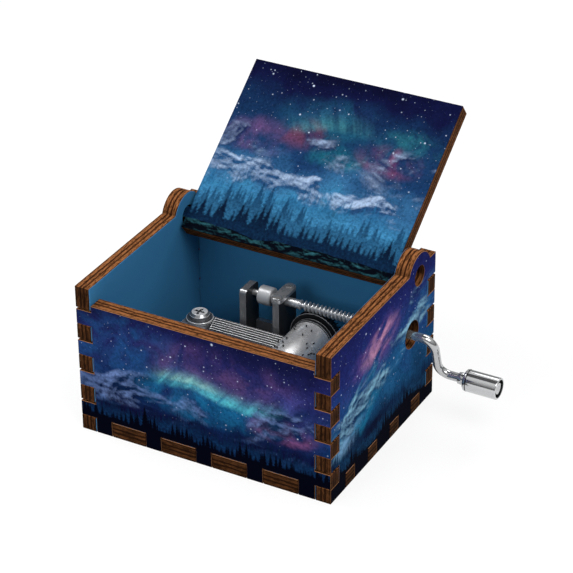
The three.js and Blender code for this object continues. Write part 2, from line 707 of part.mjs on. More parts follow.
// The strap over the right post: a plate with round ends, held by two rivets
function bearingCap() {
  const low = SHAFT_RISE + SHAFT_RADIUS + CAP_RISE + SEAT_GAP;
  const shape = new THREE.Shape();
  shape.absarc(-RIGHT_POST_X, -RIVET_OFFSET, CAP_HALF_WIDTH, Math.PI, 2 * Math.PI);
  shape.absarc(-RIGHT_POST_X, RIVET_OFFSET, CAP_HALF_WIDTH, 0, Math.PI);
  for (const [x, y] of rivetPlaces()) shape.holes.push(circle(x, y, RIVET_SHANK_RADIUS + SEAT_GAP));
  return extrude(shape, low, low + CAP_PLATE);
}

function capRivet() {
  const seat = SHAFT_RISE + SHAFT_RADIUS + CAP_RISE + 2 * SEAT_GAP + CAP_PLATE;
  const foot = seat - CAP_PLATE - RIVET_SHANK_LENGTH;
  return turned([
    [0, foot],
    [RIVET_SHANK_RADIUS, foot],
    [RIVET_SHANK_RADIUS, seat],
    [RIVET_HEAD_RADIUS, seat],
    [RIVET_HEAD_RADIUS, seat + RIVET_HEAD_HEIGHT / 2],
    [RIVET_HEAD_RADIUS / 2, seat + RIVET_HEAD_HEIGHT],
    [0, seat + RIVET_HEAD_HEIGHT],
  ], ALONG_Z, SMALL_SIDES);
}

// A right-hand thread ridge round the X axis, with a crest opposite a gap between the wheel's
// teeth. Its section is buried in the shaft, to which it is joined.
function wormThread() {
  const stepsPerTurn = ROD_SIDES;
  const steps = WORM_TURNS * stepsPerTurn;
  const buried = 2 * RUNNING_GAP;
  const slope = (WORM_ROOT_WIDTH - WORM_CREST_WIDTH) / 2 / (WORM_CREST_RADIUS - WORM_ROOT_RADIUS);
  const footHalf = WORM_ROOT_WIDTH / 2 + slope * buried;
  const section = [
    [WORM_ROOT_RADIUS - buried, -footHalf],
    [WORM_CREST_RADIUS, -WORM_CREST_WIDTH / 2],
    [WORM_CREST_RADIUS, WORM_CREST_WIDTH / 2],
    [WORM_ROOT_RADIUS - buried, footHalf],
  ];
  const firstTurn = -Math.round(WORM_START / WORM_PITCH) + 0.5;
  const positions = [];
  for (let i = 0; i <= steps; i += 1) {
    const turns = i / stepsPerTurn;
    const angle = 2 * Math.PI * turns - Math.PI / 2;
    for (const [radius, side] of section) {
      const x = (firstTurn + turns) * WORM_PITCH + side;
      positions.push(x, radius * Math.cos(angle), radius * Math.sin(angle));
    }
  }
  return solid(tubeGeometry(positions, steps, section.length));
}

// A closed skin over a run of rings that all have the same number of points
function tubeGeometry(positions, steps, sides) {
  const faces = [];
  for (let i = 0; i < steps; i += 1) {
    for (let j = 0; j < sides; j += 1) {
      const next = (j + 1) % sides;
      const [a, b] = [i * sides + j, i * sides + next];
      faces.push(a, b, a + sides, b, b + sides, a + sides);
    }
  }
  const last = steps * sides;
  for (let j = 1; j < sides - 1; j += 1) faces.push(0, j + 1, j, last, last + j, last + j + 1);
  const geometry = new THREE.BufferGeometry();
  geometry.setAttribute("position", new THREE.Float32BufferAttribute(positions, 3));
  geometry.setIndex(faces);
  return geometry;
}

// The steel shaft across the movement, with the worm on it and, at its right end, the socket that
// the crank's rod screws into
function wormShaft() {
  const socketEnd = SOCKET_START + SOCKET_LENGTH;
  const wormEnd = WORM_TURNS * WORM_PITCH - WORM_START;
  const shaft = turned([
    [0, -SHAFT_TAIL],
    [JOURNAL_RADIUS, -SHAFT_TAIL],
    [JOURNAL_RADIUS, -COLLAR_START],
    [SHAFT_RADIUS, -COLLAR_START],
    [SHAFT_RADIUS, -WORM_START - SHOULDER_LENGTH],
    [SHOULDER_RADIUS, -WORM_START - SHOULDER_LENGTH],
    [SHOULDER_RADIUS, -WORM_START],
    [WORM_ROOT_RADIUS, -WORM_START],
    [WORM_ROOT_RADIUS, wormEnd],
    [SHAFT_RADIUS, wormEnd],
    [SHAFT_RADIUS, SOCKET_START],
    [SOCKET_RADIUS, SOCKET_START],
    [SOCKET_RADIUS, socketEnd],
    [0, socketEnd],
  ], ALONG_X, ROD_SIDES);
  const boreRadius = SHAFT_RADIUS + RUNNING_GAP;
  const bore = rod(boreRadius, socketEnd - SOCKET_DEPTH, socketEnd + OVERRUN, ALONG_X, ROD_SIDES);
  return cut(join(shaft, wormThread()), bore);
}

function shaftCollar() {
  const [left, right] = [-COLLAR_START, COLLAR_LENGTH - COLLAR_START];
  const bore = SHAFT_RADIUS + SEAT_GAP;
  return turned([
    [bore, left],
    [COLLAR_RADIUS - COLLAR_CHAMFER, left],
    [COLLAR_RADIUS, left + COLLAR_CHAMFER],
    [COLLAR_RADIUS, right - COLLAR_CHAMFER],
    [COLLAR_RADIUS - COLLAR_CHAMFER, right],
    [bore, right],
  ], ALONG_X);
}

// The middle line of the crank's rod in its own plane: along X, and out from the shaft's axis
// along the throw, with a round bend at each end of the arm
function crankLine(armX, startX, endX) {
  const line = [{ x: startX, out: 0, angle: 0 }];
  const bend = (centreX, centreOut, side) => {
    for (let i = 0; i <= BEND_STEPS; i += 1) {
      const angle = ((side > 0 ? i : BEND_STEPS - i) / BEND_STEPS) * (Math.PI / 2);
      line.push({
        x: centreX + side * BEND_RADIUS * Math.sin(angle),
        out: centreOut - side * BEND_RADIUS * Math.cos(angle),
        angle,
      });
    }
  };
  bend(armX - BEND_RADIUS, BEND_RADIUS, 1);
  bend(armX + BEND_RADIUS, CRANK_THROW - BEND_RADIUS, -1);
  line.push({ x: endX, out: CRANK_THROW, angle: 0 });
  return line;
}

// The crank: a rod bent twice, with a swaged stop inside the knob and a peened end outside it. Its
// plane is X and -Z here, and the crank's group turns it to the arm's real direction.
function crankArm() {
  const armX = wallX() + ARM_STANDOFF;
  const startX = SOCKET_START + SOCKET_LENGTH - ROD_ENTRY;
  const knobX = wallX() + KNOB_STANDOFF;
  const endX = knobX + KNOB_LENGTH - KNOB_RECESS_DEPTH + RUNNING_GAP;
  const line = crankLine(armX, startX, endX);
  const positions = [];
  for (const { x, out, angle } of line) {
    for (let j = 0; j < ROD_SIDES; j += 1) {
      const turn = (2 * Math.PI * j) / ROD_SIDES;
      const across = SHAFT_RADIUS * Math.cos(turn);
      const side = SHAFT_RADIUS * Math.sin(turn);
      positions.push(x + across * Math.sin(angle), side, across * Math.cos(angle) - out);
    }
  }
  const swageEnd = knobX - RUNNING_GAP;
  const swage = rod(SWAGE_RADIUS, swageEnd - SWAGE_LENGTH, swageEnd, ALONG_X, ROD_SIDES);
  const peen = turned([
    [0, endX - OVERRUN],
    [SHAFT_RADIUS, endX - OVERRUN],
    [SHAFT_RADIUS, endX],
    [PEEN_RADIUS, endX],
    [PEEN_RADIUS, endX + PEEN_HEIGHT / 2],
    [SHAFT_RADIUS, endX + PEEN_HEIGHT],
    [0, endX + PEEN_HEIGHT],
  ], ALONG_X, ROD_SIDES);
  const ends = join(swage, peen).translate([0, 0, -CRANK_THROW]);
  return join(solid(tubeGeometry(positions, line.length - 1, ROD_SIDES)), ends);
}

// The case's right face, from the drum's axis
function wallX() {
  return FRAME_RIGHT + SPACE_RIGHT + PLY;
}

// The knob, bored for the rod, with a round taper at its inner end and a hollow outer end
function crankKnob() {
  const inner = wallX() + KNOB_STANDOFF;
  const outer = inner + KNOB_LENGTH;
  const bore = SHAFT_RADIUS + RUNNING_GAP;
  return turned([
    [bore, inner],
    [KNOB_RADIUS - KNOB_CHAMFER, inner],
    [KNOB_RADIUS, inner + KNOB_TAPER_LENGTH],
    [KNOB_RADIUS, outer - KNOB_LIP],
    [KNOB_RADIUS - KNOB_LIP, outer],
    [KNOB_RECESS_RADIUS, outer],
    [KNOB_RECESS_RADIUS, outer - KNOB_RECESS_DEPTH],
    [bore, outer - KNOB_RECESS_DEPTH],
  ], ALONG_X).translate([0, 0, -CRANK_THROW]);
}

// The wheel's rim of teeth, slanted to follow the worm's thread
function wheelTeeth() {
  const pitchAngle = (2 * Math.PI) / WHEEL_TEETH;
  const points = [];
  for (let i = 0; i < WHEEL_TEETH; i += 1) {
    const corners = [
      [WHEEL_ROOT_RADIUS, -WHEEL_ROOT_WIDTH / 2],
      [WHEEL_TIP_RADIUS, -WHEEL_TIP_WIDTH / 2],
      [WHEEL_TIP_RADIUS, WHEEL_TIP_WIDTH / 2],
      [WHEEL_ROOT_RADIUS, WHEEL_ROOT_WIDTH / 2],
    ];
    for (const [radius, side] of corners) {
      const angle = Math.PI / 2 + i * pitchAngle + side / radius;
      points.push([radius * Math.cos(angle), radius * Math.sin(angle)]);
    }
  }
  const settings = { depth: 2 * WHEEL_HALF_FACE, bevelEnabled: false, steps: 1 };
  const geometry = new THREE.ExtrudeGeometry(polygon(points), settings);
  geometry.translate(0, 0, -WHEEL_HALF_FACE).applyMatrix4(ALONG_Y);
  const lead = WORM_PITCH / (2 * Math.PI * WORM_PITCH_RADIUS * WHEEL_PITCH_RADIUS);
  const place = geometry.attributes.position;
  const point = new THREE.Vector3();
  const up = new THREE.Vector3(0, 1, 0);
  for (let i = 0; i < place.count; i += 1) {
    point.fromBufferAttribute(place, i);
    point.applyAxisAngle(up, point.y * lead);
    place.setXYZ(i, point.x, point.y, point.z);
  }
  return solid(geometry);
}

// The black wheel: teeth with a thin shroud at their front, a groove, the flange that the drum
// seats on and the spigot inside it
function drumGear() {
  const bore = ARBOR_RADIUS + SEAT_GAP;
  const rear = WHEEL_HALF_FACE;
  const shroudFront = -(WHEEL_HALF_FACE + SHROUD_THICKNESS);
  const flangeRear = shroudFront - WHEEL_GROOVE;
  const flangeFront = flangeRear - FLANGE_THICKNESS;
  const spigot = DRUM_RADIUS - DRUM_WALL - SEAT_GAP;
  const flange = DRUM_RADIUS + FLANGE_RISE;
  const groove = WHEEL_ROOT_RADIUS - WHEEL_GROOVE_DEPTH;
  const shroud = WHEEL_TIP_RADIUS + RUNNING_GAP;
  const core = turned([
    [bore, flangeFront - SPIGOT_LENGTH],
    [spigot, flangeFront - SPIGOT_LENGTH],
    [spigot, flangeFront],
    [flange, flangeFront],
    [flange, flangeRear],
    [groove, flangeRear],
    [groove, shroudFront],
    [shroud, shroudFront],
    [shroud, -WHEEL_HALF_FACE],
    [groove, -WHEEL_HALF_FACE],
    [groove, rear],
    [HUB_RADIUS, rear],
    [HUB_RADIUS, rear + HUB_LENGTH],
    [bore, rear + HUB_LENGTH],
  ], ALONG_Y, DRUM_SIDES);
  const dish = turned([
    [HUB_RADIUS, rear - DISH_DEPTH],
    [WHEEL_ROOT_RADIUS - DISH_RIM, rear - DISH_DEPTH],
    [WHEEL_ROOT_RADIUS - DISH_RIM, rear + OVERRUN],
    [HUB_RADIUS, rear + OVERRUN],
  ], ALONG_Y);
  const axle = rod(bore, -DRUM_FRONT, DRUM_FRONT, ALONG_Y, ROUND_SIDES);
  return cut(join(core, wheelTeeth()), dish, axle);
}

// The pinned drum: a thin tube, with a pin wherever the tune plucks a tooth
function musicDrum() {
  const inner = DRUM_RADIUS - DRUM_WALL;
  const tube = turned([
    [inner, -DRUM_FRONT],
    [DRUM_RADIUS, -DRUM_FRONT],
    [DRUM_RADIUS, -DRUM_REAR],
    [inner, -DRUM_REAR],
  ], ALONG_Y, DRUM_SIDES);
  return join(tube, ...drumPins());
}

// Where the pins stand: each track has the same number of notes, moved on and spread by steps that
// do not repeat from one track to the next, as a tune's do
function drumPins() {
  const noteTurn = (2 * Math.PI) / DRUM_PINS_PER_TRACK;
  const trackTurn = (3 - Math.sqrt(5)) * Math.PI;
  const spreadShare = 0.55;
  const half = PIN_WIDTH / 2;
  const pin = extrude(rectangle(-half, half, -half, half), DRUM_RADIUS - PIN_ROOT, DRUM_RADIUS + PIN_HEIGHT);
  const pins = [];
  for (let track = 0; track < COMB_TEETH; track += 1) {
    const y = -(COMB_REAR + (track + 0.5) * TOOTH_PITCH);
    for (let note = 0; note < DRUM_PINS_PER_TRACK; note += 1) {
      const spread = spreadShare * Math.sin(track * track + 2 * note);
      const angle = track * trackTurn + (note + spread) * noteTurn;
      pins.push(pin.rotate([0, THREE.MathUtils.radToDeg(angle), 0]).translate([0, y, 0]));
    }
  }
  return pins;
}

function drumEndCap() {
  const bore = ARBOR_RADIUS + SEAT_GAP;
  const spigot = DRUM_RADIUS - DRUM_WALL - SEAT_GAP;
  const face = -(DRUM_FRONT + SEAT_GAP);
  return turned([
    [bore, face - CAP_THICKNESS],
    [DRUM_RADIUS, face - CAP_THICKNESS],
    [DRUM_RADIUS, face],
    [spigot, face],
    [spigot, face + SPIGOT_LENGTH],
    [bore, face + SPIGOT_LENGTH],
  ], ALONG_Y, DRUM_SIDES);
}

function drumArbor() {
  const front = -(FRONT_LUG_Y + LUG_THICKNESS + ARBOR_END);
  const rear = REAR_LUG_Y + LUG_THICKNESS + ARBOR_END;
  return rod(ARBOR_RADIUS, front, rear, ALONG_Y, SMALL_SIDES);
}

function buildCase() {
  const group = new THREE.Group();
  const frontFace = extrude(endWall(FRONT_HEIGHT), OUTER_Y - PLY, OUTER_Y, ALONG_Y);
  addPart(group, "front_wall", frontFace.mirror([0, 1, 0]), "plywood");
  addPart(group, "back_wall", extrude(endWall(BACK_HEIGHT), OUTER_Y - PLY, OUTER_Y, ALONG_Y), "plywood");
  addPart(group, "left_wall", extrude(sideWall(), -OUTER_X, -INNER_X, ALONG_X), "plywood");
  addPart(group, "right_wall", extrude(rightWall(), INNER_X, OUTER_X, ALONG_X), "plywood");
  addPart(group, "base_panel", basePanel(), "plywood");
  return group;
}

function buildLid() {
  const group = new THREE.Group();
  group.position.set(-LID_PLAY, HINGE_Y, HINGE_Z);
  group.rotation.x = Math.PI - LID_OPEN;
  addPart(group, "lid_panel", lidPanel(), "plywood");
  return group;
}

function buildMovement() {
  const group = new THREE.Group();
  group.position.set(MOVEMENT_X, MOVEMENT_Y, PLY + SEAT_GAP);
  addPart(group, "movement_frame", movementFrame(), "castFrame");
  addPart(group, "bearing_cap", bearingCap(), "castFrame");
  const endNames = ["front", "rear"];
  rivetPlaces().forEach(([x, y], i) => {
    addPart(group, `cap_rivet_${endNames[i]}`, capRivet(), "steel").position.set(x, y, 0);
  });
  addPart(group, "comb", comb(), "steel");
  combScrewPlaces().forEach(([x, y], i) => {
    const name = endNames[1 - i];
    addPart(group, `comb_washer_${name}`, combWasher(), "steel").position.set(x, y, 0);
    addPart(group, `comb_screw_${name}`, combScrew(), "nickel").position.set(x, y, 0);
  });
  mountScrewPlaces().forEach(([x, y], i) => {
    addPart(group, `mount_screw_${i + 1}`, mountScrew(), "steel").position.set(x, y, -PLY - SEAT_GAP);
  });
  return group;
}

function buildDrum() {
  const group = new THREE.Group();
  group.position.set(MOVEMENT_X, MOVEMENT_Y, PLY + SEAT_GAP + DRUM_RISE);
  addPart(group, "music_drum", musicDrum(), "nickel");
  addPart(group, "drum_end_cap", drumEndCap(), "nickel");
  addPart(group, "drum_gear", drumGear(), "blackNylon");
  addPart(group, "drum_arbor", drumArbor(), "steel");
  return group;
}

function buildCrank() {
  const group = new THREE.Group();
  group.position.set(MOVEMENT_X, MOVEMENT_Y, PLY + SEAT_GAP + SHAFT_RISE);
  addPart(group, "worm_shaft", wormShaft(), "steel");
  addPart(group, "shaft_collar", shaftCollar(), "nickel");
  const handle = new THREE.Group();
  handle.rotation.x = THREE.MathUtils.degToRad(CRANK_BACK_DEGREES);
  addPart(handle, "crank_arm", crankArm(), "chrome");
  addPart(handle, "crank_knob", crankKnob(), "chrome");
  group.add(handle);
  return group;
}

const musicBox = new THREE.Group();
musicBox.name = "hand_crank_music_box";
musicBox.add(buildCase(), buildLid(), buildMovement(), buildDrum(), buildCrank());
export default musicBox;
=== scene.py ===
"""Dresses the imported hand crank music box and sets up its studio, for Blender 4.5.

Lengths in the classes below are millimetres in the part's own frame (+X the crank's side, -Y the
front, +Z up), and become metres when a mesh is made.
"""

import json
import logging
import math
from dataclasses import dataclass
from enum import Enum
from typing import Callable, Iterable, Optional, Sequence, Union

import bmesh
import bpy
from mathutils import Matrix, Vector

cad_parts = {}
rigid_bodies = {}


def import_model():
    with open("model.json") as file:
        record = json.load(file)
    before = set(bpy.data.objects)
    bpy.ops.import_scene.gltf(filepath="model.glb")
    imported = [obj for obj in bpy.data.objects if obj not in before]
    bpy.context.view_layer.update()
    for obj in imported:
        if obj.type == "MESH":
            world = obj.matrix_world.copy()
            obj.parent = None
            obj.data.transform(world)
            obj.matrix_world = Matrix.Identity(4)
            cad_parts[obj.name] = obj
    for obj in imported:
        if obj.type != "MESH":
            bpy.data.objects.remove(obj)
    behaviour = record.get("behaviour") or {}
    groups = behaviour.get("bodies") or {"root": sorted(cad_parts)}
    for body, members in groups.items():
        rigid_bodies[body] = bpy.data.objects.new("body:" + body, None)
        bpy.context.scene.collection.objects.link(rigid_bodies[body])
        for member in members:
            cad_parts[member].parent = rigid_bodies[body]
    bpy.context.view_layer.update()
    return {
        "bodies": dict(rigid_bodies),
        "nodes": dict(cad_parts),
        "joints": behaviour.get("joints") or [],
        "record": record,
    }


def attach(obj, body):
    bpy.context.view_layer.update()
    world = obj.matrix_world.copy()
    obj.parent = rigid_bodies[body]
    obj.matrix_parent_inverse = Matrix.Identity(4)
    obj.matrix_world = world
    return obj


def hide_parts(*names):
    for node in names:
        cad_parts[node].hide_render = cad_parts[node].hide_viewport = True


log = logging.getLogger("music_box")

MM = 0.001
Colour = tuple[float, float, float]
Point = tuple[float, float, float]
Value = Union["Sock", float]
Stops = Sequence[tuple[float, Colour]]
Profile = Sequence[tuple[float, float]]
Picker = Callable[[Vector, Vector], int]


def srgb(code: str) -> Colour:
    """Turns a written colour into the linear values that shaders use, by the sRGB standard's curve.

    Args:
        code: six hexadecimal digits, as in "2b6285".

    Returns:
        Red, green and blue, each from 0 to 1.
    """
    parts = [int(code[i : i + 2], 16) / 255 for i in (0, 2, 4)]
    return tuple(c / 12.92 if c <= 0.04045 else ((c + 0.055) / 1.055) ** 2.4 for c in parts)


def scaled(colour: Colour, share: float) -> Colour:
    """A colour times a share: darker below 1, and lighter above."""
    return tuple(c * share for c in colour)


# Colours that more than one print uses
NAVY = srgb("0a0e30")
INK = srgb("03040f")
INDIGO = srgb("151a48")
VIOLET = srgb("3f3370")
TEAL = srgb("1f7a98")
PINK = srgb("a8608c")
STARLIGHT = srgb("cfdcf6")
PINES = srgb("050718")
PINE_MIST = srgb("0c1a38")

# Directions in the part's frame
UP, DOWN = (0.0, 0.0, 1.0), (0.0, 0.0, -1.0)
RIGHT, LEFT = (1.0, 0.0, 0.0), (-1.0, 0.0, 0.0)
BACK, FRONT = (0.0, 1.0, 0.0), (0.0, -1.0, 0.0)


# Shader graphs


class Sock:
    """A number in a shader graph. Arithmetic on it adds Math nodes."""

    def __init__(self, graph: "Graph", socket: bpy.types.NodeSocket) -> None:
        """Wraps one output socket of a graph."""
        self.graph = graph
        self.socket = socket

    def math(self, operation: str, *others: Value, clamp: bool = False) -> "Sock":
        """Adds one Math node whose first input is this number.

        Args:
            operation: the Math node's operation.
            others: its further inputs.
            clamp: whether the result is held between 0 and 1.

        Returns:
            The node's result.
        """
        settings = {"operation": operation, "use_clamp": clamp}
        return self.graph.value("ShaderNodeMath", settings, dict(enumerate((self, *others))))

    def __add__(self, other: Value) -> "Sock":
        """Sum."""
        return self.math("ADD", other)

    __radd__ = __add__

    def __sub__(self, other: Value) -> "Sock":
        """Difference."""
        return self.math("SUBTRACT", other)

    def __rsub__(self, other: float) -> "Sock":
        """Difference with a plain number on the left."""
        return self.graph.number(other).math("SUBTRACT", self)

    def __mul__(self, other: Value) -> "Sock":
        """Product."""
        return self.math("MULTIPLY", other)

    __rmul__ = __mul__

    def __truediv__(self, other: Value) -> "Sock":
        """Quotient."""
        return self.math("DIVIDE", other)

    def __rtruediv__(self, other: float) -> "Sock":
        """Quotient with a plain number on the left."""
        return self.graph.number(other).math("DIVIDE", self)

    def __pow__(self, other: Value) -> "Sock":
        """Power."""
        return self.math("POWER", other)

    def __abs__(self) -> "Sock":
        """Absolute value."""
        return self.math("ABSOLUTE")

    def __gt__(self, other: Value) -> "Sock":
        """1 where this is above the other, else 0."""
        return self.math("GREATER_THAN", other)

    def floor(self) -> "Sock":
        """Whole part."""
        return self.math("FLOOR")

    def fract(self) -> "Sock":
        """Fractional part."""
        return self.math("FRACT")

    def sine(self) -> "Sock":
        """Sine of an angle in radians."""
        return self.math("SINE")

    def most(self, other: Value) -> "Sock":
        """The larger of the two."""
        return self.math("MAXIMUM", other)

    def held(self) -> "Sock":
        """This number held between 0 and 1."""
        return self.math("ADD", 0.0, clamp=True)

    def rise(self, low: Value, high: Value) -> "Sock":
        """A smooth step.

        Args:
            low: where the step is 0.
            high: where the step is 1. It may be the smaller of the two.

        Returns:
            A number from 0 to 1.
        """
        settings = {"interpolation_type": "SMOOTHSTEP"}
        return self.graph.value("ShaderNodeMapRange", settings, {0: self, 1: low, 2: high})


class Arrow(Sock):
    """A vector in a shader graph. Arithmetic on it adds Vector Math nodes."""

    def vector_math(self, operation: str, other: Union["Arrow", Point]) -> "Arrow":
        """Adds one Vector Math node with this vector first.

        Args:
            operation: the node's operation.
            other: its second vector.

        Returns:
            The node's vector.
        """
        settings = {"operation": operation}
        node = self.graph.node("ShaderNodeVectorMath", settings, {0: self, 1: other})
        return Arrow(self.graph, node.outputs["Vector"])

    def __add__(self, other: Union["Arrow", Point]) -> "Arrow":
        """Sum of two vectors."""
        return self.vector_math("ADD", other)

    def __sub__(self, other: Union["Arrow", Point]) -> "Arrow":
        """Difference of two vectors."""
        return self.vector_math("SUBTRACT", other)

    def __mul__(self, other: Union["Arrow", Point]) -> "Arrow":
        """Product, axis by axis."""
        return self.vector_math("MULTIPLY", other)

    def dot(self, other: Union["Arrow", Point]) -> Sock:
        """How far this vector reaches along another.

        Args:
            other: the other vector.

        Returns:
            The dot product.
        """
        settings = {"operation": "DOT_PRODUCT"}
        node = self.graph.node("ShaderNodeVectorMath", settings, {0: self, 1: other})
        return Sock(self.graph, node.outputs["Value"])


class Graph:
    """The node graph of one material, or of the room."""

    def __init__(self, name: str, room: Optional[bpy.types.World] = None) -> None:
        """Starts an empty graph.

        Args:
            name: the name of the new material.
            room: the world to dress in place of a new material.
        """
        self.material = room or bpy.data.materials.new(name)
        self.material.use_nodes = True
        self.tree = self.material.node_tree
        self.tree.nodes.clear()
        self._place: Optional[Arrow] = None

    def node(
        self,
        kind: str,
        settings: Optional[dict[str, object]] = None,
        inputs: Optional[dict[Union[str, int], object]] = None,
    ) -> bpy.types.Node:
        """Adds any node.

        Args:
            kind: the node's type.
            settings: its own settings. "stops" holds a ramp's (place, colour) pairs.
            inputs: values or links for its sockets, by name or by number.

        Returns:
            The new node.
        """
        node = self.tree.nodes.new(kind)
        for key, value in (settings or {}).items():
            if key == "stops":
                self._set_stops(node.color_ramp, value)
            else:
                setattr(node, key, value)
        for key, value in (inputs or {}).items():
            socket = node.inputs[key]
            if isinstance(value, Sock):
                self.tree.links.new(value.socket, socket)
            elif isinstance(value, bpy.types.NodeSocket):
                self.tree.links.new(value, socket)
            elif socket.type == "RGBA":
                socket.default_value = (*value[:3], 1.0)
            else:
                socket.default_value = value
        return node

    @staticmethod
    def _set_stops(ramp: bpy.types.ColorRamp, stops: Stops) -> None:
        """Gives a ramp its stops.

        Args:
            ramp: the ramp of a Color Ramp node.
            stops: (place, colour) pairs, from 0 to 1.
        """
        while len(ramp.elements) < len(stops):
            ramp.elements.new(1.0)
        for element, (place, colour) in zip(ramp.elements, stops):
            element.position = place
            element.color = (*colour, 1.0)

    def value(
        self, kind: str, settings: dict[str, object], inputs: dict[Union[str, int], object]
    ) -> Sock:
        """Adds a node and returns its first output as a number.

        Args:
            kind: the node's type.
            settings: its own settings.
            inputs: values or links for its sockets.

        Returns:
            The first output.
        """
        return Sock(self, self.node(kind, settings, inputs).outputs[0])

    def number(self, number: float) -> Sock:
        """Adds a plain number as a Value node.

        Args:
            number: the number.

        Returns:
            The node's value.
        """
        node = self.node("ShaderNodeValue")
        node.outputs[0].default_value = number
        return Sock(self, node.outputs[0])

    def place(self) -> Arrow:
        """Reads the surface's place, through the same nodes each time.

        Returns:
            The place in the part's frame at rest, in millimetres.
        """
        if self._place is None:
            coordinates = self.node("ShaderNodeTexCoord").outputs["Object"]
            self._place = Arrow(self, coordinates) * (1 / MM, 1 / MM, 1 / MM)
        return self._place

    def flat(self, u: Value, v: Value, w: Value = 0.0) -> Arrow:
        """Joins numbers into a vector.

        Args:
            u: the first number.
            v: the second number.
            w: the third number.

        Returns:
            The vector.
        """
        node = self.node("ShaderNodeCombineXYZ", None, {0: u, 1: v, 2: w})
        return Arrow(self, node.outputs[0])

    def noise(self, at: Arrow, scale: float, detail: float, distortion: float = 0.0) -> Sock:
        """Cloudy noise around one half.

        Args:
            at: where it is read.
            scale: how many lumps there are per unit of place.
            detail: how many finer layers it has.
            distortion: how far its lumps are bent.

        Returns:
            A number from about 0.2 to 0.8.
        """
        inputs = {"Vector": at, "Scale": scale, "Detail": detail, "Distortion": distortion}
        return self.value("ShaderNodeTexNoise", {}, inputs)

    def chance(self, cell: Sock, seed: float) -> Sock:
        """A random number for each whole number.

        Args:
            cell: the whole number.
            seed: tells one set of random numbers from another.

        Returns:
            A number from 0 to 1.
        """
        settings = {"noise_dimensions": "1D"}
        return self.value("ShaderNodeTexWhiteNoise", settings, {"W": cell + seed})

    def mix(self, share: Value, first: object, second: object) -> Sock:
        """Mixes two colours.

        Args:
            share: how much of the second colour there is.
            first: a colour or a link.
            second: a colour or a link.

        Returns:
            The mixed colour.
        """
        node = self.node("ShaderNodeMix", {"data_type": "RGBA"}, {0: share, 6: first, 7: second})
        return Sock(self, node.outputs[2])

    def ramp(self, along: Sock, stops: Stops) -> Sock:
        """A colour read from a ramp.

        Args:
            along: where on the ramp, from 0 to 1.
            stops: (place, colour) pairs.

        Returns:
            The colour.
        """
        return self.value("ShaderNodeValToRGB", {"stops": stops}, {0: along})

    def bump(self, height: Sock, depth: float) -> Sock:
        """A bumpy normal.

        Args:
            height: the surface's height, from 0 to 1.
            depth: how many millimetres a height of 1 stands for.

        Returns:
            The normal.
        """
        return self.value("ShaderNodeBump", {}, {"Height": height, "Distance": depth * MM})

    def surface(self, colour: Sock, roughness: Value, gloss: float, normal: Sock) -> bpy.types.Material:
        """Ends the graph in the shader of something that isn't metal.

        Args:
            colour: its colour.
            roughness: how blurred its reflections are.
            gloss: its specular level, where 0.5 is that of plain plastic.
            normal: its bumpy normal.

        Returns:
            The material.
        """
        return self.finish(
            Base_Color=colour, Roughness=roughness, Specular_IOR_Level=gloss, Normal=normal
        )

    def finish(self, **inputs: object) -> bpy.types.Material:
        """Ends the graph in a Principled shader.

        Args:
            inputs: values or links for its sockets, with _ for a space in a name.

        Returns:
            The material.
        """
        named = {key.replace("_", " "): value for key, value in inputs.items()}
        shader = self.node("ShaderNodeBsdfPrincipled", None, named)
        self.node("ShaderNodeOutputMaterial", None, {"Surface": shader.outputs[0]})
        return self.material


# Finishes


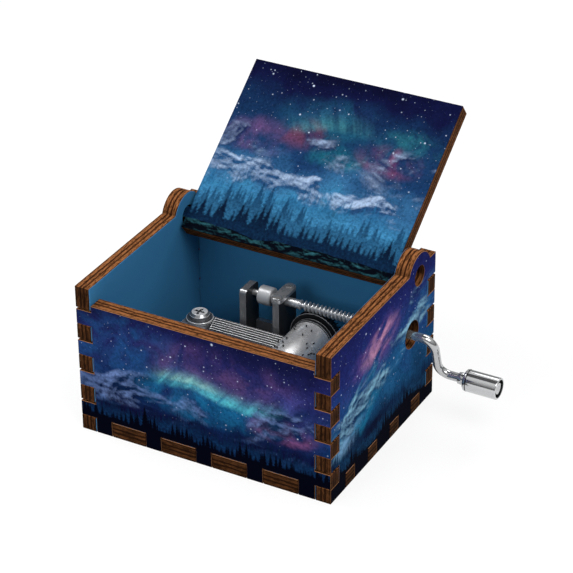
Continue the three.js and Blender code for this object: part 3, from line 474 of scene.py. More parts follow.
@dataclass(frozen=True)
class PlyEdge:
    """The laser-cut edge of a plywood panel: pale plies with dark glue lines between them.

    The panel's faces look along across, on which its middle plane lies at middle. A grain is a
    pair: its scale along the sheet, and how much finer it is through the sheet. Faces that don't look
    up are darker, partly scorch and partly painted shade. The pale face ply shows at the lip, and more
    on upward faces as a painted highlight.
    """

    name: str
    across: Point
    middle: float
    thickness: float
    scorched: Colour = srgb("150a04")
    glue: Colour = srgb("3a1f0f")
    tan: Colour = srgb("8a5834")
    rim: Colour = srgb("b07f56")
    scorch_and_shade_ends: float = 0.8
    fibre_grain: tuple[float, float] = (0.42, 3.6)
    fine_grain: tuple[float, float] = (1.2, 8.0)
    patch_scale: float = 0.35
    patch_wander: float = 0.1
    fibre_wander: float = 0.05
    streaked: float = 0.85
    rim_from: float = 0.468
    rim_full: float = 0.487
    rim_on_sides: float = 0.16
    rim_on_tops: float = 0.61
    relief: float = 0.1
    roughness: float = 0.62
    gloss: float = 0.01

    def material(self) -> bpy.types.Material:
        """Builds the material.

        Returns:
            The material.
        """
        g = Graph(self.name)
        place = g.place()
        through = (place.dot(self.across) - self.middle) / self.thickness + 0.5
        fibres = g.noise(place * self._stretched(self.fibre_grain), 1.0, 4.0, 0.3)
        fine = g.noise(place * self._stretched(self.fine_grain), 1.0, 3.0)
        patches = g.noise(place, self.patch_scale, 2.0)
        layer = through + (patches - 0.5) * self.patch_wander + (fibres - 0.5) * self.fibre_wander
        colour = g.ramp(layer.held(), self._plies())
        streaks = (fibres * 0.5 + fine * 0.5).rise(0.53, 0.42)
        colour = g.mix(streaks * self.streaked, colour, self.scorched)
        upward = Arrow(g, g.node("ShaderNodeTexCoord").outputs["Normal"]).dot(UP)
        # Faces that don't look up are darker: partly scorch on the cut ends, partly painted shade.
        scorch_and_shade = upward.rise(0.8, 0.2) * (patches * 0.5 + (self.scorch_and_shade_ends - 0.25))
        colour = g.mix(scorch_and_shade.held(), colour, self.scorched)
        lip = abs(through - 0.5).rise(self.rim_from, self.rim_full)
        # The pale lip shows on every edge, and more on upward faces as a painted highlight.
        top_lit_share = upward.rise(0.2, 0.8) * (self.rim_on_tops - self.rim_on_sides) + self.rim_on_sides
        colour = g.mix(lip * top_lit_share, colour, self.rim)
        relief = g.bump(fibres * 0.6 + fine * 0.4, self.relief)
        return g.surface(colour, self.roughness, self.gloss, relief)

    def _stretched(self, grain: tuple[float, float]) -> Point:
        """Noise scales for the three axes."""
        return tuple(grain[0] + grain[1] * abs(a) for a in self.across)

    def _plies(self) -> Stops:
        """Lists the plies' colours through the sheet, with a burnt line inside each face.

        Returns:
            Stops from one face to the other, the second half a mirror of the first.
        """
        tan, glue = self.tan, self.glue
        outer = ((0.0, tan), (0.06, glue), (0.11, tan))
        inner = ((0.28, tan), (0.34, glue), (0.4, glue), (0.46, tan))
        near = outer + inner
        return near + tuple((1 - where, colour) for where, colour in reversed(near))


@dataclass(frozen=True)
class Paint:
    """Flat paint on plywood, with the grain just showing through."""

    name: str
    colour: Colour
    grain_stretch: Point = (1.0, 0.15, 0.15)
    grain_scale: float = 1.6
    cloud_scale: float = 0.06
    grain_tone: float = 0.1
    cloud_tone: float = 0.25
    darkest: float = 0.72
    lightest: float = 1.25
    relief: float = 0.02
    roughness: float = 0.72
    gloss: float = 0.12

    def material(self) -> bpy.types.Material:
        """Builds the material.

        Returns:
            The material.
        """
        g = Graph(self.name)
        grain = g.noise(g.place() * self.grain_stretch, self.grain_scale, 4.0)
        cloud = g.noise(g.place(), self.cloud_scale, 2.0)
        shade = (grain - 0.5) * self.grain_tone + (cloud - 0.5) * self.cloud_tone
        deep, light = scaled(self.colour, self.darkest), scaled(self.colour, self.lightest)
        colour = g.mix((shade + 0.5).held(), deep, light)
        return g.surface(colour, self.roughness, self.gloss, g.bump(grain, self.relief))


@dataclass(frozen=True)
class BareFace:
    """The bare face of a plywood sheet, with its grain along X."""

    name: str
    colour: Colour = srgb("8a5a38")
    wave_stretch: Point = (0.05, 0.6, 0.6)
    pore_stretch: Point = (0.35, 5.0, 5.0)
    darkest: float = 0.45
    relief: float = 0.04
    roughness: float = 0.6
    gloss: float = 0.5

    def material(self) -> bpy.types.Material:
        """Builds the material.

        Returns:
            The material.
        """
        g = Graph(self.name)
        place = g.place()
        waves = g.noise(place * self.wave_stretch, 1.0, 3.0, 1.2)
        pores = g.noise(place * self.pore_stretch, 1.0, 2.0)
        tone = (waves * 0.7 + pores * 0.3).rise(0.3, 0.7)
        colour = g.mix(tone, scaled(self.colour, self.darkest), self.colour)
        return g.surface(colour, self.roughness, self.gloss, g.bump(pores, self.relief))


@dataclass(frozen=True)
class Metal:
    """A metal with fine tooling marks, a little unevenness and a darker bloom in places.

    It is darker to the right of darker_from, where that is given.
    """

    name: str
    colour: Colour
    roughness: float
    marks: Point = (1.0, 1.0, 1.0)
    mark_depth: float = 0.004
    unevenness: float = 0.08
    mottle: float = 0.0
    mirror: float = 1.0
    darker_from: Optional[float] = None
    mark_scale: float = 2.0
    cloud_scale: float = 0.5
    speck_scale: float = 3.2
    darkening_length: float = 1.5
    bloom_shade: float = 0.5
    darkest: float = 0.16

    def material(self) -> bpy.types.Material:
        """Builds the material.

        Returns:
            The material.
        """
        g = Graph(self.name)
        place = g.place()
        marks = g.noise(place * self.marks, self.mark_scale, 4.0)
        cloud = g.noise(place, self.cloud_scale, 3.0)
        rough = self.roughness + (cloud - 0.5) * self.unevenness + (marks - 0.5) * self.unevenness
        specks = g.noise(place, self.speck_scale, 2.0).rise(0.52, 0.68) * self.mottle
        bloom = specks.most((marks - 0.5) * 0.6)
        colour = g.mix(bloom.held(), self.colour, scaled(self.colour, self.bloom_shade))
        if self.darker_from is not None:
            beyond = place.dot(RIGHT).rise(self.darker_from, self.darker_from + self.darkening_length)
            colour = g.mix(beyond, colour, scaled(self.colour, self.darkest))
        normal = g.bump(marks * 0.6 + cloud * 0.4, self.mark_depth)
        rough = rough.held()
        return g.finish(Base_Color=colour, Metallic=self.mirror, Roughness=rough, Normal=normal)


@dataclass(frozen=True)
class Nylon:
    """Moulded black nylon, with thin rings of painted highlight round its axis, which runs along Y.

    Each ring is a pair: its radius, and its place along the axis.
    """

    axis_x: float
    axis_z: float
    name: str = "black nylon"
    colour: Colour = srgb("101113")
    bright: Colour = srgb("b8b9bc")
    rings: tuple[tuple[float, float], ...] = ((5.28, 9.98), (5.28, 10.95), (6.28, 11.55))
    ring_width: float = 0.065
    full_share: float = 0.4
    skin_scale: float = 4.0
    unevenness: float = 0.12
    relief: float = 0.01
    roughness: float = 0.34
    gloss: float = 0.25

    def material(self) -> bpy.types.Material:
        """Builds the material.

        Returns:
            The material.
        """
        g = Graph(self.name)
        place = g.place()
        skin = g.noise(place, self.skin_scale, 3.0)
        x, z = place.dot(RIGHT) - self.axis_x, place.dot(UP) - self.axis_z
        radius, y = (x * x + z * z) ** 0.5, place.dot(BACK)
        # Thin rings of painted highlight where the wheel's rims catch the light.
        painted_highlight = g.number(0.0)
        for ring_radius, ring_y in self.rings:
            off = abs(radius - ring_radius).most(abs(y - ring_y))
            painted_highlight = painted_highlight.most(off.rise(self.ring_width, self.ring_width * self.full_share))
        colour = g.mix(painted_highlight * (skin * 0.8 + 0.35), self.colour, self.bright)
        rough = self.roughness + (skin - 0.5) * self.unevenness
        return g.surface(colour, rough, self.gloss, g.bump(skin, self.relief))


# The printed night skies. Scales are lumps per millimetre, and steps and depths millimetres. A
# squeeze is how much less a noise changes along one direction.

AIR_SCALE, AIR_SWAY = 0.045, 0.5
HAZE_SCALE, HAZE_SWAY = 0.16, 0.22
GLOW_SCALE = 0.13
WAVE_RATE = 0.21
FOLD_SCALE, FOLD_SWAY = 0.09, 3.2
RAY_SCALE, RAY_SQUEEZE = 0.55, 0.06
CLOUD_STEP, CLOUD_SQUEEZE, CLOUD_CONTRAST = 0.7, 0.62, 9.0
RIDGE_SCALE = 0.07
ROCK_SCALE, ROCK_STEP, ROCK_SQUEEZE, ROCK_CONTRAST, ROCK_LIT_DEPTH = 0.45, 0.35, 0.6, 6.0, 3.5
GROUND_SCALE = 0.06
RAGGED_SCALE, RAGGED_GROUND, RAGGED_TREES = 1.6, 1.4, 0.25
STAND_SCALE = 0.13
MIST_DEPTH = 1.4


@dataclass(frozen=True)
class Sheet:
    """Where a printed face lies: its lower left corner and its two directions."""

    corner: Point
    right: Point
    up: Point
    width: float
    height: float

    def read(self, g: Graph) -> tuple[Sock, Sock]:
        """Places on the sheet.

        Args:
            g: the graph that reads them.

        Returns:
            Millimetres to the right of the corner and above it.
        """
        offset = g.place() - self.corner
        return offset.dot(self.right), offset.dot(self.up)


@dataclass(frozen=True)
class Glow:
    """A soft coloured cloud in the sky. Its lean is to the right for each unit up."""

    centre: tuple[float, float]
    reach: tuple[float, float]
    colour: Colour
    strength: float
    lean: float = 0.0


@dataclass(frozen=True)
class Aurora:
    """A curtain of light whose lower edge waves across the sky."""

    left: float
    right: float
    edge: float
    wave: float
    height: float
    lean: float
    colour: Colour
    crown: Colour
    strength: float
    fade_left: float = 9.0
    fade_right: float = 12.0


@dataclass(frozen=True)
class Forest:
    """A row of conifers on uneven ground, with mist before their feet.

    The pitch is the room that a tree takes, and roll is how far the ground rises and falls.
    """

    ground: float
    height: float
    pitch: float
    colour: Colour
    seed: float
    roll: float
    opacity: float
    mist: Colour
    misty: float


@dataclass(frozen=True)
class Clouds:
    """A bank of clouds with lit upper rims, which rises or falls across the sheet by its tilt."""

    low: float
    high: float
    tilt: float
    lump: float
    strength: float
    shade: Colour = srgb("141a3c")
    lit: Colour = srgb("9fb4d8")
    seed: float = 0.0


@dataclass(frozen=True)
class Ridge:
    """Rocks along the bottom, with their tops lit."""

    ground: float
    roll: float
    shade: Colour
    lit: Colour
    seed: float


@dataclass(frozen=True)
class NightSky:
    """A printed sky: shaded air, glows, stars, auroras and clouds over forests and rocks.

    The air is a ramp from the sheet's foot to its top. A sort of star is its number per
    millimetre, its size, its strength, and a shift that sets its places apart from the other
    sort's. The trees stand in ranks, a share of a pitch apart.
    """

    name: str
    sheet: Sheet
    air: Stops
    glows: tuple[Glow, ...] = ()
    auroras: tuple[Aurora, ...] = ()
    clouds: tuple[Clouds, ...] = ()
    forests: tuple[Forest, ...] = ()
    ridges: tuple[Ridge, ...] = ()
    seed: float = 0.0
    starlight: float = 0.8
    star_sorts: tuple[tuple[float, float, float, float], ...] = (
        (0.95, 0.09, 0.7, 0.0),
        (0.26, 0.03, 1.0, 31.0),
    )
    tree_ranks: tuple[float, ...] = (0.0, 0.37, 0.71)
    boughs: float = 8.0
    ink_scale: float = 1.7
    inked: float = 0.35
    relief: float = 0.008
    roughness: float = 0.55
    gloss: float = 0.003

    def material(self) -> bpy.types.Material:
        """Builds the material.

        Returns:
            The material.
        """
        g = Graph(self.name)
        u, v = self.sheet.read(g)
        colour = self._air(g, u, v)
        for glow in self.glows:
            colour = self._glow(g, u, v, glow, colour)
        colour = self._stars(g, u, v, colour)
        for aurora in self.auroras:
            colour = self._aurora(g, u, v, aurora, colour)
        for bank in self.clouds:
            colour = self._clouds(g, u, v, bank, colour)
        for forest in self.forests:
            colour = self._forest(g, u, v, forest, colour)
        for ridge in self.ridges:
            colour = self._ridge(g, u, v, ridge, colour)
        ink = g.noise(g.place(), self.ink_scale, 5.0)
        colour = g.mix(ink.rise(0.62, 0.3) * self.inked, colour, INK)
        return g.surface(colour, self.roughness, self.gloss, g.bump(ink, self.relief))

    def _air(self, g: Graph, u: Sock, v: Sock) -> Sock:
        """Shades the sky from the ground up.

        Args:
            g: the graph.
            u: place to the right, in millimetres.
            v: place above the corner, in millimetres.

        Returns:
            The colour.
        """
        broad = g.noise(g.flat(u, v, self.seed), AIR_SCALE, 3.0, 0.8)
        fine = g.noise(g.flat(u, v, self.seed + 5), HAZE_SCALE, 5.0, 0.5)
        along = v / self.sheet.height + (broad - 0.5) * AIR_SWAY + (fine - 0.5) * HAZE_SWAY
        return g.ramp(along.held(), self.air)

    def _glow(self, g: Graph, u: Sock, v: Sock, glow: Glow, under: Sock) -> Sock:
        """Lays one glowing cloud over the sky.

        Args:
            g: the graph.
            u: place to the right.
            v: place above the corner.
            glow: the cloud.
            under: the colour so far.

        Returns:
            The colour with the cloud in it.
        """
        sideways = (u - glow.centre[0] - (v - glow.centre[1]) * glow.lean) / glow.reach[0]
        upward = (v - glow.centre[1]) / glow.reach[1]
        reach = sideways * sideways + upward * upward
        at = g.flat(u - v * glow.lean, v, self.seed + glow.centre[0])
        lumps = g.noise(at, GLOW_SCALE, 6.0, 0.9)
        mask = reach.rise(1.0, 0.0) * lumps.rise(0.36, 0.72) * glow.strength
        return g.mix(mask.held(), under, glow.colour)

    def _stars(self, g: Graph, u: Sock, v: Sock, under: Sock) -> Sock:
        """Scatters small stars and a few large ones.

        Args:
            g: the graph.
            u: place to the right.
            v: place above the corner.
            under: the colour so far.

        Returns:
            The colour with the stars in it.
        """
        high = (v / self.sheet.height).rise(0.2, 0.5)
        settings = {"voronoi_dimensions": "2D", "feature": "F1"}
        colour = under
        for density, size, strength, shift in self.star_sorts:
            at = g.flat(u + (self.seed + shift), v - shift)
            cells = g.node("ShaderNodeTexVoronoi", settings, {"Vector": at, "Scale": density})
            near = Sock(g, cells.outputs["Distance"])
            luck = Arrow(g, cells.outputs["Color"]).dot((0.5, 0.3, 0.2))
            radius = (luck ** 6.0) * (size * 5.5) + size * 0.1
            star = near.rise(radius, 0.0) * (luck + 0.3) * high * (strength * self.starlight)
            colour = g.mix(star.held(), colour, STARLIGHT)
        return colour

    def _aurora(self, g: Graph, u: Sock, v: Sock, aurora: Aurora, under: Sock) -> Sock:
        """Hangs one curtain of light in the sky.

        Args:
            g: the graph.
            u: place to the right.
            v: place above the corner.
            aurora: the curtain.
            under: the colour so far.

        Returns:
            The colour with the curtain in it.
        """
        fold = g.noise(g.flat(u, self.seed), FOLD_SCALE, 2.0) - 0.5
        wave = (u * WAVE_RATE + self.seed).sine() + fold * FOLD_SWAY
        edge = wave * aurora.wave + aurora.edge
        above = (v - edge) / aurora.height
        across = u - (v - edge) * aurora.lean
        at = g.flat(across, v * RAY_SQUEEZE, self.seed)
        rays = g.noise(at, RAY_SCALE, 4.0, 0.3).rise(0.32, 0.7)
        left_end = u.rise(aurora.left, aurora.left + aurora.fade_left)
        ends = left_end * u.rise(aurora.right, aurora.right - aurora.fade_right)
        body = above.rise(-0.08, 0.12) * above.rise(1.0, 0.0) ** 1.6 * (rays * 0.75 + 0.25) * ends
        tint = g.mix(above.rise(0.1, 0.65), aurora.colour, aurora.crown)
        return g.mix((body * aurora.strength).held(), under, tint)

    def _clouds(self, g: Graph, u: Sock, v: Sock, bank: Clouds, under: Sock) -> Sock:
        """Drifts one bank of clouds across the sheet.

        Args:
            g: the graph.
            u: place to the right.
            v: place above the corner.
            bank: the clouds.
            under: the colour so far.

        Returns:
            The colour with the clouds in it.
        """
        level = v - u * bank.tilt
        middle = (bank.low + bank.high) / 2
        band = level.rise(bank.low, middle) * level.rise(bank.high, middle)
        heap = self._heap(g, u, v, bank, 0.0)
        beyond = self._heap(g, u, v, bank, CLOUD_STEP)
        body = (heap + band * 0.12).rise(0.52, 0.64) * band.rise(0.0, 0.35)
        light = ((heap - beyond) * CLOUD_CONTRAST + 0.3).held()
        colour = g.mix(light, bank.shade, bank.lit)
        return g.mix((body * bank.strength).held(), under, colour)

    def _heap(self, g: Graph, u: Sock, v: Sock, bank: Clouds, step: float) -> Sock:
        """Tells how thick the clouds are a step up and to the left of a place.

        Args:
            g: the graph.
            u: place to the right.
            v: place above the corner.
            bank: the clouds.
            step: the step in millimetres.

        Returns:
            Noise around one half.
        """
        at = g.flat(u * CLOUD_SQUEEZE - step * 0.4, v + step, self.seed + bank.seed)
        return g.noise(at, bank.lump, 9.0, 0.35)

    def _ridge(self, g: Graph, u: Sock, v: Sock, ridge: Ridge, under: Sock) -> Sock:
        """Lays rocks along the bottom.

        Args:
            g: the graph.
            u: place to the right.
            v: place above the corner.
            ridge: the rocks.
            under: the colour so far.

        Returns:
            The colour with the rocks in it.
        """
        swell = g.noise(g.flat(u, ridge.seed), RIDGE_SCALE, 5.0) - 0.5
        level = swell * (2 * ridge.roll) + ridge.ground
        here, beyond = (
            g.noise(g.flat(u * ROCK_SQUEEZE, v + step, ridge.seed), ROCK_SCALE, 7.0, 0.25)
            for step in (0.0, ROCK_STEP)
        )
        top = (level - v).rise(ROCK_LIT_DEPTH, 0.0) * 0.6 + 0.25
        light = (((here - beyond) * ROCK_CONTRAST + 0.1) * top).held()
        colour = g.mix(light, ridge.shade, ridge.lit)
        return g.mix((level - v).rise(-0.12, 0.12), under, colour)

    def _forest(self, g: Graph, u: Sock, v: Sock, forest: Forest, under: Sock) -> Sock:
        """Stands one row of conifers along the ground.

        Args:
            g: the graph.
            u: place to the right.
            v: place above the corner.
            forest: the row.
            under: the colour so far.

        Returns:
            The colour with the trees in it.
        """
        swell = g.noise(g.flat(u, forest.seed), GROUND_SCALE, 3.0) - 0.5
        ground = swell * (2 * forest.roll) + forest.ground
        ragged = g.noise(g.flat(u, v, forest.seed), RAGGED_SCALE, 4.0) - 0.5
        stands = g.noise(g.flat(u, forest.seed + 3), STAND_SCALE, 2.0).rise(0.3, 0.7) * 0.75 + 0.25
        mask = (ground + ragged * RAGGED_GROUND - v).rise(-0.3, 0.3)
        for part in self.tree_ranks:
            slot = (u + ragged * RAGGED_TREES) / forest.pitch + (forest.seed + part)
            tree = slot.floor()
            luck = g.chance(tree, forest.seed + part)
            stand = g.chance(tree, forest.seed + part + 40)
            tall = (luck * 0.65 + 0.35) * stands
            down = (ground - v) / forest.height + tall
            boughs = (down * self.boughs + luck * 3).fract()
            half = (down * (0.36 + boughs * 0.22)).held() + (ragged * 0.12 + 0.02)
            off = abs(slot.fract() - 0.5 - (stand - 0.5) * 0.4)
            mask = mask.most((half - off).rise(-0.06, 0.1) * (down > 0.0))
        haze = (v - ground).rise(forest.height * 0.3, -MIST_DEPTH) * forest.misty
        colour = g.mix((haze * (ragged * 2 + 0.5)).held(), forest.colour, forest.mist)
        return g.mix((mask * forest.opacity).held(), under, colour)


# Meshes. Angles are in degrees, and points within the last two distances, in metres, are one.

SMOOTH_BELOW = 35.0
SHADED_AS_ONE = 50.0
FLAT_WITHIN = 0.6
SAME_POINT = 1e-7
SAME_SOLID_POINT = 2e-6


class MeshMaker:
    """Collects vertices and faces, in millimetres, for one piece."""

    def __init__(self) -> None:
        """Starts with nothing. Tint is the material's number for the rings that follow."""
        self.points: list[Point] = []
        self.faces: list[tuple[int, ...]] = []
        self.tint = 0
        self.tints: list[int] = []

    def rings(self, rings: Sequence[Sequence[Point]], loop: bool = False) -> None:
        """Skins a run of rings, and fills the first and the last unless they are joined.

        Args:
            rings: rings of equally many points.
            loop: whether the last ring joins the first.
        """
        start, sides = len(self.points), len(rings[0])
        for ring in rings:
            self.points.extend(ring)
        count = len(rings)
        for i in range(count if loop else count - 1):
            a, b = start + i * sides, start + (i + 1) % count * sides
            for j in range(sides):
                k = (j + 1) % sides
                self.faces.append((a + j, a + k, b + k, b + j))
        if not loop:
            self.faces.append(tuple(range(start + sides - 1, start - 1, -1)))
            last = start + (count - 1) * sides
            self.faces.append(tuple(range(last, last + sides)))
        self.tints.extend([self.tint] * (len(self.faces) - len(self.tints)))

    def turned(self, profile: Profile, where: Matrix, sides: int, second: Sequence[int] = ()) -> None:
        """Turns a closed profile round an axis.

        Args:
            profile: (radius, height) pairs. A radius of 0 stands on the axis.
            where: puts the axis, which is Z, in the part's frame.
            sides: how many sides a round has.
            second: the numbers of the profile's stretches that take the second material.
        """
        rings = []
        for j in range(sides):
            turn = 2 * math.pi * j / sides
            ring = []
            for radius, height in profile:
                around = (radius * math.cos(turn), radius * math.sin(turn), height)
                ring.append(tuple(where @ Vector(around)))
            rings.append(ring)
        self.rings(rings, loop=True)
        if second:
            stretches = [int(number in second) for number in range(len(profile))]
            self.tints[-len(profile) * sides :] = stretches * sides

    def piece(self, name: str, materials: Sequence[bpy.types.Material]) -> bpy.types.Object:
        """Makes the object.

        Args:
            name: the piece's name.
            materials: its materials.

        Returns:
            The object.
        """
        mesh = bpy.data.meshes.new(name)
        mesh.from_pydata([tuple(c * MM for c in p) for p in self.points], [], self.faces)
        for polygon, tint in zip(mesh.polygons, self.tints):
            polygon.material_index = tint
        work = bmesh.new()
        work.from_mesh(mesh)
        bmesh.ops.remove_doubles(work, verts=work.verts, dist=SAME_POINT)
        bmesh.ops.recalc_face_normals(work, faces=work.faces)
        shade(work)
        work.to_mesh(mesh)
        work.free()
        settle(mesh)
        return new_object(name, mesh, materials)


def shade(work: bmesh.types.BMesh, smooth_below: float = SMOOTH_BELOW) -> None:
    """Shades a mesh smooth apart from its sharper edges.

    Args:
        work: the mesh.
        smooth_below: the angle in degrees below which an edge is smooth.
    """
    limit = math.radians(smooth_below)
    for face in work.faces:
        face.smooth = True
    for edge in work.edges:
        edge.smooth = len(edge.link_faces) == 2 and edge.calc_face_angle(math.pi) < limit


def settle(mesh: bpy.types.Mesh) -> None:
    """Weights the shading by area, so that flat faces stay flat beside their eased edges.

    Args:
        mesh: the mesh.
    """
    near = math.cos(math.radians(SHADED_AS_ONE))
    around: list[list[bpy.types.MeshPolygon]] = [[] for _ in mesh.vertices]
    for polygon in mesh.polygons:
        for vertex in polygon.vertices:
            around[vertex].append(polygon)
    normals = []
    for polygon in mesh.polygons:
        for vertex in polygon.vertices:
            total = Vector((0, 0, 0))
            for other in around[vertex]:
                if other.normal.dot(polygon.normal) > near:
                    total += other.normal * other.area
            normals.append(total.normalized())
    mesh.normals_split_custom_set(normals)


def new_object(
    name: str, mesh: bpy.types.Mesh, materials: Sequence[bpy.types.Material]
) -> bpy.types.Object:
    """Links a mesh into the scene.

    Args:
        name: the piece's name.
        mesh: its mesh.
        materials: its materials.

    Returns:
        The object.
    """
    for material in materials:
        mesh.materials.append(material)
    piece = bpy.data.objects.new(name, mesh)
    bpy.context.scene.collection.objects.link(piece)
    return piece


def axis(origin: Point, along: Point) -> Matrix:
    """A frame whose Z runs along a direction from an origin.

    Args:
        origin: the frame's origin.
        along: the direction of its Z.

    Returns:
        The matrix from that frame to the part's.
    """
    turn = Vector(UP).rotation_difference(Vector(along)).to_matrix().to_4x4()
    return Matrix.Translation(origin) @ turn


class Workshop:
    """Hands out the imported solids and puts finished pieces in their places."""

    def __init__(self, frame: dict) -> None:
        """Keeps the loaded frame.
        """
        record = frame["record"]
        bodies = record["behaviour"]["bodies"]
        self.nodes = frame["nodes"]
        self.slots = {part["node"]: part["material_slot"] for part in record["subparts"]}
        self.body_of = {node: body for body, nodes in bodies.items() for node in nodes}

    def stand_in(self, piece: bpy.types.Object, node: str) -> bpy.types.Object:
        """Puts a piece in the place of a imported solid.

        Args:
            piece: the new piece.
            node: the solid that it stands for.

        Returns:
            The piece.
        """
        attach(piece, self.body_of[node])
        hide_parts(node)
        log.info("%s stands for %s on %s", piece.name, node, self.body_of[node])
        return piece

    def eased(
        self,
        node: str,
        materials: Sequence[bpy.types.Material],
        ease: float,
        pick: Optional[Picker] = None,
        rim: Optional[Picker] = None,
        smooth_below: float = SMOOTH_BELOW,
    ) -> bpy.types.Object:
        """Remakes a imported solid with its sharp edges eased.

        Args:
            node: the solid.
            materials: the piece's materials.
            ease: the width of the eased edges, in millimetres.
            pick: gives the material's number for a face from its centre and its normal.
            rim: the same for the eased edges, which else look like the faces beside them.
            smooth_below: edges flatter than this angle are shaded smooth.

        Returns:
            The piece, in place.
        """
        work = bmesh.new()
        work.from_mesh(self.nodes[node].data)
        bmesh.ops.remove_doubles(work, verts=work.verts, dist=SAME_SOLID_POINT)
        bmesh.ops.dissolve_limit(
            work,
            angle_limit=math.radians(FLAT_WITHIN),
            verts=work.verts,
            edges=work.edges,
            delimit={"NORMAL"},
        )
        for face in work.faces:
            face.material_index = pick(face.calc_center_median() / MM, face.normal) if pick else 0
        limit = math.radians(smooth_below)
        between_two = [edge for edge in work.edges if len(edge.link_faces) == 2]
        sharp = [edge for edge in between_two if edge.calc_face_angle(0) > limit]
        eased = bmesh.ops.bevel(
            work,
            geom=sharp,
            offset=ease * MM,
            offset_type="OFFSET",
            segments=2,
            profile=0.5,
            affect="EDGES",
            clamp_overlap=True,
        )
        for face in eased["faces"] if rim else ():
            face.material_index = rim(face.calc_center_median() / MM, face.normal)
        shade(work, smooth_below)
        mesh = bpy.data.meshes.new(node + "_piece")
        work.to_mesh(mesh)
        work.free()
        settle(mesh)
        return self.stand_in(new_object(node + "_piece", mesh, materials), node)


# Sub-assemblies


class Side(Enum):
    """The faces of a panel."""

    OUT = 0
    IN = 1
    EDGE = 2


@dataclass
class Case:
    """The plywood case: four walls and the base.

    A face looks out or in where its normal's share that way is above faces_out, and an eased edge
    belongs to the inside above edge_faces_in.
    """

    width: float = 64.0
    depth: float = 51.0
    ply: float = 3.8
    side_height: float = 41.4
    front_height: float = 33.5
    ease: float = 0.1
    blue: Colour = srgb("33709a")
    faces_out: float = 0.9
    edge_faces_in: float = 0.3
    seam_ends_below_top: float = 1.0

    def skies(self) -> dict[str, NightSky]:
        """The printed skies of the walls.

        Returns:
            A sky for each wall's node.
        """
        x, y = self.width / 2, self.depth / 2
        low, high = self.front_height, self.side_height
        return {
            "front_wall": self._front_sky(Sheet((-x, -y, 0), RIGHT, UP, self.width, low)),
            "right_wall": self._right_sky(Sheet((x, -y, 0), BACK, UP, self.depth, high)),
            "back_wall": self._back_sky(Sheet((x, y, 0), LEFT, UP, self.width, low)),
            "left_wall": self._left_sky(Sheet((-x, y, 0), FRONT, UP, self.depth, high)),
        }

    @staticmethod
    def _front_sky(sheet: Sheet) -> NightSky:
        """Draws a green and violet aurora over a dark wooded valley.

        Args:
            sheet: where the print lies.

        Returns:
            The sky.
        """
        return NightSky(
            "front print",
            sheet,
            air=(
                (0.0, INK),
                (0.25, NAVY),
                (0.45, srgb("0d2a54")),
                (0.6, srgb("162650")),
                (0.8, srgb("1c1f50")),
                (1.0, srgb("101235")),
            ),
            glows=(
                Glow((12, 25), (20, 11), srgb("1b4a7c"), 0.7),
                Glow((36, 25), (24, 8), srgb("523a66"), 0.8),
                Glow((32, 16), (26, 6), srgb("1a6a96"), 0.65),
                Glow((54, 19), (14, 9), srgb("3d3f80"), 0.7),
                Glow((52, 15), (10, 4), PINK, 0.6),
            ),
            auroras=(
                Aurora(16, 56, 18.2, 1.3, 9, 0.8, srgb("54b8c4"), srgb("6a4a80"), 0.85),
                Aurora(18, 40, 20.0, 0.8, 6, 0.9, srgb("9fdccc"), srgb("5f7ab0"), 0.65),
            ),
            clouds=(
                Clouds(8, 21, 0.02, 0.12, 0.65, srgb("070b24"), srgb("6f88bc"), 3.0),
                Clouds(6, 13, -0.03, 0.2, 0.35, srgb("04061a"), srgb("34588c"), 8.0),
            ),
            forests=(
                Forest(8.2, 5.5, 1.3, srgb("081834"), 3.0, 3.0, 0.85, srgb("123e68"), 0.5),
                Forest(5.6, 6.5, 2.5, srgb("02030c"), 8.0, 3.0, 1.0, srgb("040818"), 0.3),
            ),
            seed=2.0,
        )

    @staticmethod
    def _right_sky(sheet: Sheet) -> NightSky:
        """Draws a leaning band of starlight over a mountain lake.

        Args:
            sheet: where the print lies.

        Returns:
            The sky.
        """
        return NightSky(
            "right print",
            sheet,
            air=(
                (0.0, INK),
                (0.18, srgb("081430")),
                (0.4, srgb("15466f")),
                (0.6, srgb("1b3a72")),
                (0.8, srgb("1c2560")),
                (1.0, srgb("15194a")),
            ),
            glows=(
                Glow((20, 27), (15, 9), srgb("5a3f80"), 0.9, 0.9),
                Glow((23, 29), (10, 5), srgb("c08aa8"), 0.95, 0.9),
                Glow((14, 17), (13, 10), srgb("1f84aa"), 0.8, 0.8),
                Glow((38, 22), (12, 14), srgb("236292"), 0.8, 0.9),
                Glow((9, 12), (9, 4), srgb("7fa4c8"), 0.7, 0.6),
            ),
            clouds=(Clouds(6, 21, 0.35, 0.13, 0.75, srgb("0e2248"), srgb("8fc0d8"), 5.0),),
            forests=(
                Forest(8.0, 6.0, 1.5, srgb("0a1e3c"), 21.0, 3.0, 0.85, srgb("1c5278"), 0.6),
                Forest(5.4, 6.0, 2.1, srgb("02030c"), 25.0, 3.0, 1.0, srgb("060c20"), 0.3),
            ),
            seed=14.0,
        )

    @staticmethod
    def _back_sky(sheet: Sheet) -> NightSky:
        """Draws a quiet blue sky over two ranks of trees.

        Args:
            sheet: where the print lies.

        Returns:
            The sky.
        """
        return NightSky(
            "back print",
            sheet,
            air=(
                (0.0, INK),
                (0.3, srgb("0d2148")),
                (0.55, srgb("1a4674")),
                (0.8, INDIGO),
                (1.0, NAVY),
            ),
            glows=(
                Glow((20, 22), (16, 8), VIOLET, 0.8),
                Glow((44, 20), (18, 9), TEAL, 0.6),
                Glow((46, 25), (8, 4), PINK, 0.7),
            ),
            clouds=(Clouds(9, 22, 0.0, 0.12, 0.7, seed=2.0),),
            forests=(
                Forest(7.0, 6.0, 1.3, srgb("14365c"), 43.0, 2.5, 0.75, srgb("2c6890"), 0.8),
                Forest(3.4, 7.0, 1.9, PINES, 47.0, 2.0, 1.0, PINE_MIST, 0.5),
            ),
            seed=27.0,
        )

